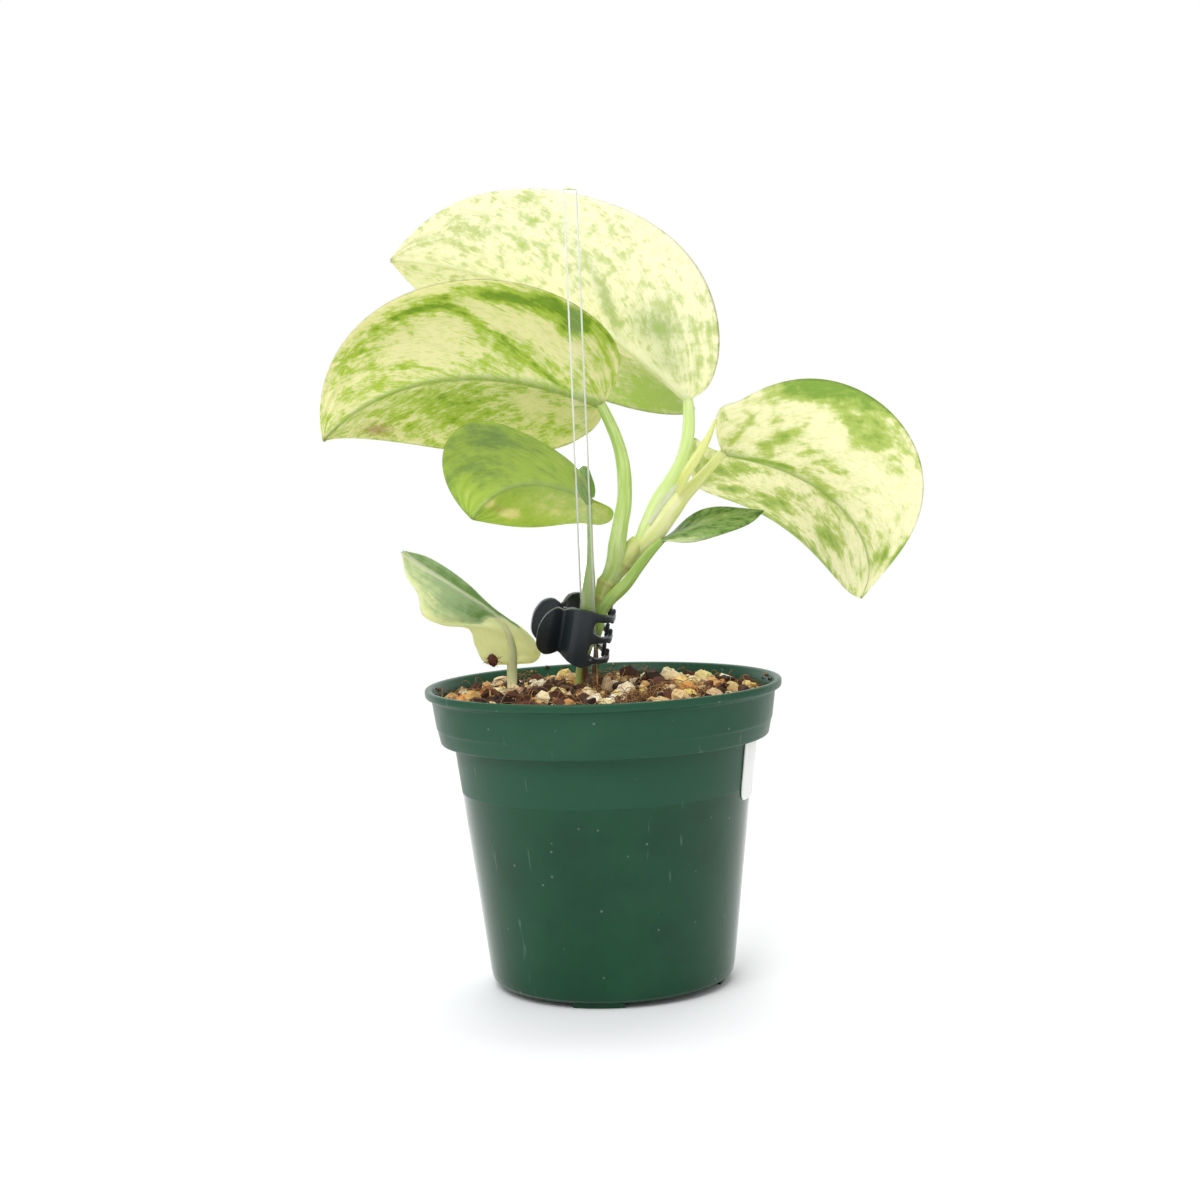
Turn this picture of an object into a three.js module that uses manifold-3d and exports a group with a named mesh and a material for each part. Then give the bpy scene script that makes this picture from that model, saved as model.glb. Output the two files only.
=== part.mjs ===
// A marble queen pothos cutting in a green nursery pot, held to a clear stake by a small claw clip.
// Millimetres, +Z up. The origin is on the ground under the pot's centre and -Y is the front.
import * as THREE from "three";
import { LoftGeometry } from "three/addons/geometries/LoftGeometry.js";
import { mergeVertices } from "three/addons/utils/BufferGeometryUtils.js";
import Module from "manifold-3d";

const wasm = await Module();
wasm.setup();

// Driving dimensions.
const GAP = 0.3; // clearance between pieces that touch
const SEGMENTS = 36; // sides of the pot and of the potting mix

const POT = {
  rimRadius: 51,
  rimZ: 86.5,
  lipZ: 84.2, // underside of the out-turned lip
  collarTopRadius: 49.2,
  kinkRadius: 47.8,
  kinkZ: 75.1,
  collarRadius: 46.9,
  shelfZ: 70.8, // step from the body out to the collar
  bodyTopRadius: 43.2,
  bodyBaseRadius: 34.8,
  floorZ: 1.5, // underside of the floor, held up by the feet
  wall: 1.4,
  feet: 4,
  footWidth: 14.5,
  footRadius: 32.4,
  footTurn: -98, // degrees, direction of the front foot
  slots: 6,
  slotWidth: 3.5,
  slotLength: 9,
  padRadius: 6,
};

const LABEL = { from: -26, to: 30, bottom: 53.5, top: 69.8, thickness: 0.3, corner: 3 };

const MIX = { edge: 82, dome: 1.6, waves: 0.6 };

const STAKE = { side: 4, bottom: 12, top: 226, x: -3.6, y: -2.8, lean: -0.35 };

const CLIP = {
  position: [-11.5, 0.5, 100.5],
  lean: [10, 11], // degrees: towards the front, then to the right
  plate: 1.4,
  pinRadius: 0.6,
  boreRadius: 0.9,
  lugRadius: 1.7,
  lugWidth: 1.4,
  pinFrom: -3.9,
  pinTo: 8.1,
  rearOpen: 14, // degrees that the rear jaw stands open on the stems
  springRadius: 1.5,
  wireRadius: 0.25,
  springTop: 3.6,
  springTurns: 3.4,
  springPitch: 0.9,
};

// Leaf blades. A blade is a heart outline on a midrib that bends as it grows; the two halves fold up
// from the midrib and curl. Angles in degrees, lengths in mm, left and right as seen from the stalk.
const LEAVES = {
  leaf_upper: {
    base: [28, 22, 166.2], yaw: 158, pitch: 43, roll: 57, length: 103.5, droop: 53, sweep: -18, twist: 25,
    width: [36, 36.5], lobe: [7, 6.5], fold: [27, 38], curl: [-48, 41], belly: 0.63, heel: 0.6, ear: 11,
    color: 0xe9ecb4,
  },
  leaf_left: {
    base: [2.5, 13, 165.5], yaw: 172.5, pitch: 23.5, roll: 55.5, length: 89, droop: 72.5,
    sweep: -38, twist: 0,
    width: [35, 31.5], lobe: [6, 3.5], fold: [38, 33], curl: [76, 54], belly: 0.6, heel: 0.97, ear: -2,
    color: 0xb9cc86,
  },
  leaf_small: {
    base: [-1.8, 5.2, 139], yaw: 152, pitch: 21, roll: 24, length: 44, droop: 82, sweep: -25.5, twist: 10,
    width: [24.5, 26], lobe: [0.5, 9], fold: [35, -2], curl: [31, 2], belly: 0.8, heel: 0.6, ear: 3.5,
    color: 0x7f9c4a,
  },
  leaf_right: {
    base: [37, 6, 151], yaw: 8, pitch: -14, roll: -35.5, length: 70.5, droop: 119, sweep: 19.5, twist: -4,
    width: [36, 33.5], lobe: [13, 10.5], fold: [7, -8], curl: [-15, -50], belly: 0.53, heel: 0.6, ear: 12,
    color: 0xc5d488,
  },
  leaf_young: {
    base: [18, -0.3, 126.2], yaw: 20, pitch: 18, roll: 2, length: 35.5, droop: 22.5, sweep: 11, twist: 25,
    width: [10, 7], lobe: [0.5, 0.5], fold: [-7, -7], curl: [-20, 36.5], belly: 0.58, heel: 0.6, ear: 0,
    color: 0x3f6b2a,
  },
};
const LEAF = { thickness: 0.8, drip: 0.35, rows: 12, columns: 4, bends: 48, first: 0.03, last: 0.988 };

// Stems and stalks: points x, y, z and radius along each; flat is depth over width of the section.
const STEMS = {
  main_stem: {
    path: [
      [-9.5, 3.5, 60, 1.2], [-8, 3.6, 75, 1.3], [-7.3, 3.8, 84, 1.3], [-5.9, 3.9, 91, 1.5],
      [-3.9, 4.1, 98, 1.8],
      [-1.9, 4.3, 104.4, 1.9], [0, 4.8, 109.5, 2], [1.9, 5, 114, 2.5], [4.3, 5.2, 117.3, 2.2],
      [6.8, 5.1, 120.2, 2.5],
      [9.5, 4.7, 123.3, 2.2], [12, 4.5, 126, 2.1],
    ],
    flat: 0.95, steps: 30, color: 0x86a63c, avoid: [],
  },
  stalk_upper: {
    path: [
      [12.9, 5.6, 126.6, 2.2], [15.8, 7.7, 131.8, 2.3], [18.6, 10, 137.3, 2.2],
      [21.8, 11.5, 142.3, 2], [25, 13.2, 148, 1.8],
      [27, 15.5, 154.2, 1.6], [27.9, 18.7, 160.6, 1.5], [28, 22.4, 166.9, 1.3],
    ],
    flat: 0.75, steps: 16, color: 0xa8c653, avoid: ["main_stem"],
  },
  stalk_right: {
    path: [
      [14.4, 2.6, 126.2, 1.9], [17.6, 2.5, 130, 2.1], [21.2, 2.5, 134.6, 2], [25, 2.8, 139, 1.8],
      [29.2, 3.5, 142.8, 1.5],
      [33.2, 4.5, 146.9, 1.3], [37.4, 6.1, 151.2, 1.2],
    ],
    flat: 0.75, steps: 14, color: 0xb4cb63, avoid: ["main_stem", "stalk_upper"],
  },
  stalk_left: {
    path: [
      [4.9, 1.9, 122.2, 2.2], [5.3, 1.3, 126.5, 2.2], [6.5, 1.8, 131.5, 2.1],
      [7.9, 3, 137.6, 1.9], [8.2, 5, 144.4, 1.8],
      [7.8, 7, 149.5, 1.7], [6.6, 9, 155, 1.6], [4.8, 11, 160, 1.5], [2.2, 13.2, 166, 1.3],
    ],
    flat: 0.75, steps: 18, color: 0x9fc25a, avoid: ["main_stem"],
  },
  stalk_young: {
    path: [
      [-0.8, 2.3, 101.5, 1.3], [0.3, 2.2, 106, 1.5], [2.6, 1.6, 109.5, 1.6],
      [7.6, 0.9, 114.2, 1.5], [11.2, 0.6, 118.7, 1.4],
      [14.8, 0.1, 123.1, 1.2], [18.3, -0.3, 126.4, 0.8],
    ],
    flat: 0.6, steps: 14, color: 0x6f9c2e, avoid: ["main_stem", "stalk_right"],
  },
  stalk_small: {
    path: [
      [-4.5, 1.1, 98.6, 1.7], [-3.7, 1, 108.6, 1.9], [-2.9, 1, 115, 1.6], [-2.4, 1.2, 121, 0.9],
      [-2.2, 2.2, 129, 0.7],
      [-2.1, 3.9, 136, 0.7], [-1.9, 5.2, 139.2, 0.7],
    ],
    flat: 0.5, steps: 14, color: 0x7f9f45, avoid: ["main_stem"],
  },
  stalk_old: {
    path: [
      [-26.6, 9.5, 70, 1.3], [-26.5, 9, 82, 1.4], [-26.3, 8, 89, 1.4], [-26.2, 7.4, 91.4, 1.3],
    ],
    flat: 0.9, steps: 6, color: 0xc3c98a, avoid: [],
  },
  new_leaf_spear: {
    path: [
      [23.6, -0.2, 139.6, 0.7], [25.6, -1, 144.7, 1.1], [28.7, -1.2, 149.4, 1.2],
      [32.3, -1, 155, 0.9], [34.7, -0.5, 160.2, 0.3],
    ],
    flat: 0.9, steps: 12, color: 0xb9cc7a, avoid: ["stalk_right"],
  },
  papery_sheath: {
    path: [
      [14.6, 0.5, 130.5, 0.4], [17.5, 0.4, 134, 0.9], [21, 0.4, 138.5, 1], [25, 0.9, 143, 0.4],
    ],
    flat: 0.3, steps: 8, color: 0x9d9a7d, avoid: ["stalk_right", "new_leaf_spear"],
  },
  aerial_root_1: {
    path: [
      [-4.7, 1.9, 95.5, 0.6], [-4.9, 1.7, 91, 0.8], [-5.3, 1.6, 86.5, 0.7], [-5.9, 1.6, 80, 0.6],
      [-6.4, 1.4, 70, 0.4],
    ],
    flat: 1, steps: 10, color: 0x7a4a2a, avoid: ["main_stem"],
  },
  aerial_root_2: {
    path: [
      [-1.7, 2.6, 96.5, 0.6], [-2, 2, 90.6, 0.8], [-2.5, 1.8, 87, 0.7], [-3.2, 1.8, 80, 0.6],
      [-3.6, 1.8, 70, 0.4],
    ],
    flat: 1, steps: 10, color: 0x7a4a2a, avoid: ["main_stem"],
  },
};

// The folded old leaf, by its two edges and its midrib from the stalk to the tip.
const OLD_LEAF = {
  left: [
    [-27.6, 7.6, 91.6], [-34.5, 3, 92.6], [-36.6, 0.5, 98], [-37, -3, 103.6], [-44, -7, 106.4],
    [-50.1, -13, 111.2],
    [-53.4, -14.2, 119], [-54.6, -15, 125.2],
  ],
  midrib: [
    [-26.2, 7.3, 92.2], [-25.7, 6, 96.4], [-26.4, 4, 100.5], [-28.8, 1.5, 105],
    [-31.5, -0.5, 107.8], [-40, -6, 114.5],
    [-50.4, -12.5, 122.6], [-54.8, -15.2, 126.4],
  ],
  right: [
    [-24.9, 7.9, 91.6], [-19.6, 10, 91.8], [-17.8, 10.5, 94.4], [-21.2, 9.5, 100.4],
    [-29, 6, 105.9], [-37.5, 0, 116],
    [-47.8, -10, 124.6], [-54.2, -14.8, 127],
  ],
  thickness: 0.8, rows: 18, columns: 3, bulge: 0.8, color: 0x9aa86a,
};

// Loose lumps on the mix: centre x, y, then width, depth and height.
const LUMPS = {
  bark_chip_1: { at: [-18.2, 2], size: [8.4, 6.5, 3.6], color: 0x33201a },
  bark_chip_2: { at: [-20, 36], size: [7.5, 5, 3.2], color: 0x3a251c },
  bark_chip_3: { at: [-37.6, 17.8], size: [4, 4.4, 4.4], color: 0x4a2a1f },
  bark_chip_4: { at: [-40.8, -8], size: [6, 4.4, 2.8], color: 0xb5652a },
  peat_clod_1: { at: [0.5, 8.2], size: [8.4, 6, 5.4], color: 0x2e1d16 },
  peat_clod_2: { at: [34.8, 9.5], size: [9, 6.5, 5.2], color: 0x4a3326 },
  curled_husk: { at: [-15.1, 31], size: [4.6, 3.4, 4.2], color: 0xc79a6a },
  pumice_1: { at: [-41.2, 13.2], size: [3.2, 3.2, 3.8], color: 0xe6dcc4 },
  pumice_2: { at: [-34.8, 26], size: [5, 4.2, 4.4], color: 0xc98a4c },
  pumice_3: { at: [-29.5, 33], size: [3.2, 3, 3.8], color: 0xd2b48c },
  pumice_4: { at: [-24.2, -4], size: [3.4, 3, 2.6], color: 0xd9bd5a },
  pumice_5: { at: [-12.6, -4.4], size: [5.4, 4.6, 4], color: 0xe0cf8a },
  pumice_6: { at: [-4.6, -7.5], size: [4.2, 4, 3.8], color: 0xead9a0 },
  pumice_7: { at: [5.6, 17.6], size: [3.8, 3.4, 3.8], color: 0xd8bf94 },
  pumice_8: { at: [12.4, 16.5], size: [3.4, 3.2, 4.4], color: 0xe9dc9a },
  pumice_9: { at: [20.7, 19], size: [6.6, 5, 4.6], color: 0xd6bd95 },
  pumice_10: { at: [29.8, 21.5], size: [6.2, 5.6, 6], color: 0xdfd08e },
  pumice_11: { at: [26.2, -3.4], size: [3.8, 3.4, 2.8], color: 0xe8dcb8 },
  pumice_12: { at: [41.8, 3.4], size: [5.6, 4, 3], color: 0xd9b650 },
  perlite_1: { at: [-25.4, 27.5], size: [2.8, 2.6, 2.8], color: 0xf4f2ec },
  perlite_2: { at: [2.9, -17.7], size: [2.8, 2.6, 2.6], color: 0xf4f2ec },
};

const LUMP = { bumps: 0.07, lift: 0.2 }; // lift: how far a centre stands above the mix, by height

// Helpers.
const radians = THREE.MathUtils.degToRad;
const vector = (p) => new THREE.Vector3(p[0], p[1], p[2]);

// A closed geometry as a solid, faces outward, its vertices shared by position alone.
function solid(geometry) {
  const plain = new THREE.BufferGeometry().setAttribute("position", geometry.getAttribute("position"));
  plain.setIndex(geometry.index);
  const merged = mergeVertices(plain, 1e-4);
  const count = merged.attributes.position.count;
  const triVerts = merged.index
    ? new Uint32Array(merged.index.array)
    : Uint32Array.from({ length: count }, (_, i) => i);
  const vertProperties = merged.attributes.position.array;
  const make = () => new wasm.Manifold(new wasm.Mesh({ numProp: 3, vertProperties, triVerts }));
  const made = make();
  if (made.volume() > 0) return made;
  triVerts.reverse();
  return make();
}

// The solid's largest body, so that a cut leaves no loose slivers.
function largest(body) {
  return body.decompose().reduce((a, b) => (b.volume() > a.volume() ? b : a));
}

function mesh(name, body, color, { roughness = 0.6, metalness = 0, ...look } = {}) {
  const { vertProperties, triVerts, numProp } = body.getMesh();
  const positions = new Float32Array((vertProperties.length / numProp) * 3);
  for (let i = 0; i < positions.length / 3; i++) {
    positions.set(vertProperties.subarray(i * numProp, i * numProp + 3), i * 3);
  }
  const geometry = new THREE.BufferGeometry();
  geometry.setAttribute("position", new THREE.BufferAttribute(positions, 3));
  geometry.setIndex(new THREE.BufferAttribute(new Uint32Array(triVerts), 1));
  geometry.computeVertexNormals();
  const material = new THREE.MeshStandardMaterial({ color, roughness, metalness, ...look });
  const made = new THREE.Mesh(geometry, material);
  made.name = name;
  return made;
}

// A closed tube of elliptical section along a smooth curve through points [x, y, z, radius].
function tube(path, { steps, flat = 1, sides = 10, extra = 0, reference = [0, 1, 0] }) {
  const curve = new THREE.CatmullRomCurve3(path.map(vector), false, "centripetal");
  const widths = path.map((p) => new THREE.Vector3(p[3], 0, 0));
  const radii = new THREE.CatmullRomCurve3(widths, false, "catmullrom");
  const across = vector(reference);
  const sections = [];
  for (let i = 0; i <= steps; i++) {
    const t = i / steps;
    const centre = curve.getPoint(t);
    const radius = radii.getPoint(t).x;
    const tangent = curve.getTangent(t);
    const side = new THREE.Vector3().crossVectors(across, tangent).normalize();
    const depth = new THREE.Vector3().crossVectors(tangent, side);
    if (extra > 0 && i === 0) centre.addScaledVector(tangent, -extra);
    if (extra > 0 && i === steps) centre.addScaledVector(tangent, extra);
    sections.push(
      Array.from({ length: sides }, (_, k) => {
        const a = (2 * Math.PI * k) / sides;
        return centre
          .clone()
          .addScaledVector(side, Math.cos(a) * (radius + extra))
          .addScaledVector(depth, Math.sin(a) * (radius * flat + extra));
      }),
    );
  }
  return solid(new LoftGeometry(sections, { capStart: true, capEnd: true }));
}

// A plate's outline in the XY plane, of even thickness about the curve through the given points.
function ribbonShape(points, thickness, steps) {
  const curve = new THREE.CatmullRomCurve3(points.map(([x, y]) => new THREE.Vector3(x, y, 0)));
  const inner = [];
  const outer = [];
  for (let i = 0; i <= steps; i++) {
    const p = curve.getPoint(i / steps);
    const t = curve.getTangent(i / steps);
    inner.push(new THREE.Vector2(p.x - (t.y * thickness) / 2, p.y + (t.x * thickness) / 2));
    outer.unshift(new THREE.Vector2(p.x + (t.y * thickness) / 2, p.y - (t.x * thickness) / 2));
  }
  return new THREE.Shape([...inner, ...outer]);
}

function extrude(shape, from, to, curveSegments = 6) {
  const options = { depth: to - from, bevelEnabled: false, curveSegments };
  return new THREE.ExtrudeGeometry(shape, options).translate(0, 0, from);
}

// Pot and label.
function outerRadius(z) {
  const rise = (z - POT.floorZ) / (POT.shelfZ - POT.floorZ);
  return THREE.MathUtils.lerp(POT.bodyBaseRadius, POT.bodyTopRadius, rise);
}

function makePot() {
  const { floorZ, wall, shelfZ, kinkZ, lipZ, rimZ } = POT;
  const outside = [
    [0, floorZ], [33, floorZ], [34.4, floorZ + 0.6], [outerRadius(4) - 0.1, 4],
    [POT.bodyTopRadius, shelfZ],
    [POT.collarRadius - 0.5, shelfZ], [POT.collarRadius, shelfZ + 0.7], [POT.kinkRadius, kinkZ],
    [POT.collarTopRadius, lipZ - 0.4], [POT.rimRadius - 0.4, lipZ], [POT.rimRadius, lipZ + 0.8],
    [POT.rimRadius, rimZ - 0.5], [POT.rimRadius - 0.5, rimZ],
  ];
  const inside = [
    [POT.collarTopRadius + 0.1, rimZ], [POT.collarTopRadius - 1.1, lipZ - 0.4],
    [POT.kinkRadius - wall, kinkZ], [POT.collarRadius - wall, shelfZ + wall],
    [POT.bodyTopRadius - wall, shelfZ + wall],
    [outerRadius(4.4) - wall, 4.4], [32.4, floorZ + wall], [0, floorZ + wall],
  ];
  const profile = [...outside, ...inside].map(([r, z]) => new THREE.Vector2(r, z));
  let body = solid(new THREE.LatheGeometry(profile, SEGMENTS).rotateX(Math.PI / 2));

  const footAngle = POT.footWidth / POT.footRadius / 2;
  for (let i = 0; i < POT.feet; i++) {
    const foot = new THREE.Shape();
    foot.absarc(0, 0, POT.footRadius, -footAngle, footAngle, false);
    foot.absarc(0, 0, POT.footRadius - 3.5, footAngle * 0.9, -footAngle * 0.9, true);
    const turn = radians(POT.footTurn) + (2 * Math.PI * i) / POT.feet;
    body = body.add(solid(extrude(foot, 0, floorZ + 0.4).rotateZ(turn)));
  }
  const pad = new THREE.CylinderGeometry(POT.padRadius, POT.padRadius, floorZ + 0.4, 24);
  body = body.add(solid(pad.rotateX(Math.PI / 2).translate(0, 0, (floorZ + 0.4) / 2)));

  const half = POT.slotLength / 2 - POT.slotWidth / 2;
  const slot = new THREE.Shape();
  slot.absarc(half, 0, POT.slotWidth / 2, -Math.PI / 2, Math.PI / 2, false);
  slot.absarc(-half, 0, POT.slotWidth / 2, Math.PI / 2, -Math.PI / 2, false);
  for (let i = 0; i < POT.slots; i++) {
    const turn = (2 * Math.PI * i) / POT.slots;
    body = body.subtract(solid(extrude(slot, -1, 5).translate(19, 0, 0).rotateZ(turn)));
  }
  return mesh("pot", body, 0x2b5a40, { roughness: 0.42 });
}

// A blank sticker bent round the body, its lower corners rounded.
function makeLabel() {
  const steps = 14;
  const halfWidth = (radians(LABEL.to - LABEL.from) / 2) * outerRadius(LABEL.bottom);
  const sections = [];
  for (let i = 0; i <= steps; i++) {
    const angle = radians(THREE.MathUtils.lerp(LABEL.from, LABEL.to, i / steps));
    const edge = halfWidth * (1 - Math.abs((2 * i) / steps - 1));
    const drop = Math.max(LABEL.corner - edge, 0);
    const bottom = LABEL.bottom + LABEL.corner - Math.sqrt(LABEL.corner ** 2 - drop ** 2);
    const corner = (lift, z) => {
      const r = outerRadius(z) + lift;
      return new THREE.Vector3(r * Math.cos(angle), r * Math.sin(angle), z);
    };
    const back = 0.2;
    const front = back + LABEL.thickness;
    sections.push([
      corner(back, bottom), corner(back, LABEL.top), corner(front, LABEL.top), corner(front, bottom),
    ]);
  }
  const body = solid(new LoftGeometry(sections, { capStart: true, capEnd: true }));
  return mesh("label", body, 0xf6f6f2, { roughness: 0.7 });
}

// Plant.
// The midrib's points and frames: t forward, s to the left, n up from the blade's upper face.
function midribFrames(leaf) {
  const [yaw, pitch, roll] = [leaf.yaw, leaf.pitch, leaf.roll].map(radians);
  const t = new THREE.Vector3(Math.cos(yaw), Math.sin(yaw), Math.tan(pitch)).normalize();
  const s = new THREE.Vector3(-Math.sin(yaw), Math.cos(yaw), 0).applyAxisAngle(t, roll);
  const n = new THREE.Vector3().crossVectors(t, s);
  const frames = [{ p: vector(leaf.base), t, s, n }];
  for (let i = 0; i < LEAF.bends; i++) {
    const last = frames[i];
    const growth = (2 * (i + 0.5)) / LEAF.bends; // bending grows towards the tip
    const turns = [
      [last.t, (radians(leaf.twist) / LEAF.bends) * growth],
      [last.n, radians(leaf.sweep) / LEAF.bends],
      [last.s, (radians(leaf.droop) / LEAF.bends) * growth],
    ];
    const [nt, ns, nn] = [last.t, last.s, last.n].map((axis) =>
      turns.reduce((a, [about, angle]) => a.applyAxisAngle(about, angle), axis.clone()),
    );
    const middle = last.t.clone().add(nt).multiplyScalar(leaf.length / LEAF.bends / 2);
    frames.push({ p: last.p.clone().add(middle), t: nt, s: ns, n: nn });
  }
  return frames;
}

function frameAt(leaf, frames, distance) {
  const along = THREE.MathUtils.clamp(distance, 0, leaf.length);
  const place = (along / leaf.length) * LEAF.bends;
  const i = Math.min(Math.floor(place), LEAF.bends - 1);
  const blend = (key) => frames[i][key].clone().lerp(frames[i + 1][key], place - i);
  const frame = { p: blend("p"), t: blend("t"), s: blend("s"), n: blend("n") };
  frame.p.addScaledVector(frame.t, distance - along);
  frame.p.addScaledVector(frame.n, leaf.ear * (Math.min(distance, 0) / 8) ** 2);
  return frame;
}

// One half of the heart outline, as distance along the midrib and distance out from it.
function outlinePoint(leaf, side, phi) {
  const width = leaf.width[side];
  const curve = new THREE.CubicBezierCurve(
    new THREE.Vector2(0, 0),
    new THREE.Vector2(-2.2 * leaf.lobe[side], width * leaf.heel),
    new THREE.Vector2(leaf.length * leaf.belly, width * (2.6 - leaf.heel)),
    new THREE.Vector2(leaf.length, 0),
  );
  const p = curve.getPoint(phi);
  p.y *= 1 - LEAF.drip * phi ** 10;
  return p;
}

// A point of the blade, v from the midrib (0) to the edge (1), lifted off the mid-surface.
function bladePoint(leaf, frames, side, phi, v, lift) {
  const edge = outlinePoint(leaf, side, phi);
  const along = THREE.MathUtils.lerp(leaf.length * phi ** 1.15, edge.x, v);
  const out = v * edge.y;
  const frame = frameAt(leaf, frames, along);
  const sign = side === 0 ? 1 : -1;
  const fold = radians(leaf.fold[side]);
  const curl = radians(leaf.curl[side]) / leaf.width[side];
  const slope = fold - curl * out;
  const across = (Math.sin(fold) - Math.sin(slope)) / curl - lift * Math.sin(slope);
  const up = (Math.cos(slope) - Math.cos(fold)) / curl + lift * Math.cos(slope);
  return frame.p.addScaledVector(frame.s, sign * across).addScaledVector(frame.n, up);
}

function makeLeaf(leaf) {
  const frames = midribFrames(leaf);
  const sections = [];
  for (let i = 0; i <= LEAF.rows; i++) {
    const phi = THREE.MathUtils.lerp(LEAF.first, LEAF.last, i / LEAF.rows);
    const row = (lift) => {
      const points = [];
      for (let k = LEAF.columns; k >= -LEAF.columns; k--) {
        const side = k > 0 ? 0 : 1;
        points.push(bladePoint(leaf, frames, side, phi, Math.abs(k) / LEAF.columns, lift));
      }
      return points;
    };
    sections.push([...row(LEAF.thickness / 2), ...row(-LEAF.thickness / 2).reverse()]);
  }
  return solid(new LoftGeometry(sections, { capStart: true, capEnd: true }));
}

// The old leaf: sections from its left edge over the midrib to its right edge.
function makeOldLeaf() {
  const [left, midrib, right] = [OLD_LEAF.left, OLD_LEAF.midrib, OLD_LEAF.right].map(
    (points) => new THREE.CatmullRomCurve3(points.map(vector), false, "centripetal"),
  );
  const half = OLD_LEAF.thickness / 2;
  const sections = [];
  for (let i = 0; i <= OLD_LEAF.rows; i++) {
    const t = i / OLD_LEAF.rows;
    const middle = midrib.getPoint(t);
    const tangent = midrib.getTangent(t);
    const top = [];
    const bottom = [];
    for (let k = -OLD_LEAF.columns; k <= OLD_LEAF.columns; k++) {
      const v = Math.abs(k) / OLD_LEAF.columns;
      const edge = (k < 0 ? left : right).getPoint(t);
      const across = edge.clone().sub(middle);
      const normal = new THREE.Vector3().crossVectors(tangent, across).normalize();
      if (k >= 0) normal.negate();
      if (k === 0) normal.crossVectors(right.getPoint(t).sub(left.getPoint(t)), tangent).normalize();
      const p = middle.clone().lerp(edge, v).addScaledVector(normal, OLD_LEAF.bulge * 4 * v * (1 - v));
      top.push(p.clone().addScaledVector(normal, half));
      bottom.unshift(p.clone().addScaledVector(normal, -half));
    }
    sections.push([...top, ...bottom]);
  }
  return solid(new LoftGeometry(sections, { capStart: true, capEnd: true }));
}

// Potting mix.
// Height of the mix: domed a little in the middle and uneven.
function mixSurface(x, y) {
  const dome = MIX.dome * (1 - (x * x + y * y) / POT.collarRadius ** 2);
  const swell = Math.sin(x / 5.1 + 1) * Math.cos(y / 6.3) + 0.4 * Math.sin((x + y) / 3.7);
  return MIX.edge + dome + MIX.waves * swell;
}

// A stone-like lump: a ball with its corners pushed in and out, stretched to size and sunk in the mix.
function lump({ at, size }, seed) {
  const ball = new THREE.IcosahedronGeometry(1, 1);
  const position = ball.attributes.position;
  const corner = new THREE.Vector3();
  for (let i = 0; i < position.count; i++) {
    corner.fromBufferAttribute(position, i);
    const ridges = Math.sin(4.3 * corner.y + 2 * seed) * Math.cos(3.7 * corner.z - seed);
    const bumps = Math.sin(3.1 * corner.x + seed) + ridges;
    corner.multiplyScalar(1 + LUMP.bumps * bumps);
    position.setXYZ(i, corner.x, corner.y, corner.z);
  }
  return seatLump(ball.scale(...size.map((s) => s / 2)), at, size, seed);
}

// The hollow a lump lies in: a plain twenty-faced ball that clears it all round.
function pocket({ at, size }, seed) {
  const reach = (1 + 2 * LUMP.bumps) * 1.26; // a face's middle is 0.795 of a corner's distance
  const ball = new THREE.IcosahedronGeometry(1, 0).scale(...size.map((s) => (reach * s) / 2 + GAP));
  return seatLump(ball, at, size, seed);
}

function seatLump(ball, [x, y], size, seed) {
  return solid(ball.rotateZ(seed).translate(x, y, mixSurface(x, y) + LUMP.lift * size[2]));
}

function makeMixBody() {
  const inset = POT.wall + GAP;
  const shelf = POT.shelfZ + inset;
  const side = [
    [31.8, POT.floorZ + inset], [outerRadius(4.6) - inset, 4.6],
    [outerRadius(shelf) - inset, shelf],
    [POT.collarRadius - inset, shelf], [POT.kinkRadius - inset, POT.kinkZ],
  ];
  const rings = side.map(([r, z]) => ({ r, height: () => z }));
  for (const r of [POT.kinkRadius - inset + 1, 37, 25, 13, 3]) rings.push({ r, height: mixSurface });
  const sections = rings.map(({ r, height }) =>
    Array.from({ length: SEGMENTS }, (_, k) => {
      const a = (2 * Math.PI * k) / SEGMENTS;
      const [x, y] = [r * Math.cos(a), r * Math.sin(a)];
      return new THREE.Vector3(x, y, height(x, y));
    }),
  );
  return solid(new LoftGeometry(sections, { capStart: true, capEnd: true }));
}

// Stake and claw clip.
function stakeBox(extra) {
  const height = STAKE.top - STAKE.bottom;
  const box = new THREE.BoxGeometry(STAKE.side + 2 * extra, STAKE.side + 2 * extra, height + 2 * extra);
  box.rotateY(radians(STAKE.lean));
  return solid(box.translate(STAKE.x, STAKE.y, (STAKE.top + STAKE.bottom) / 2));
}

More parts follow.
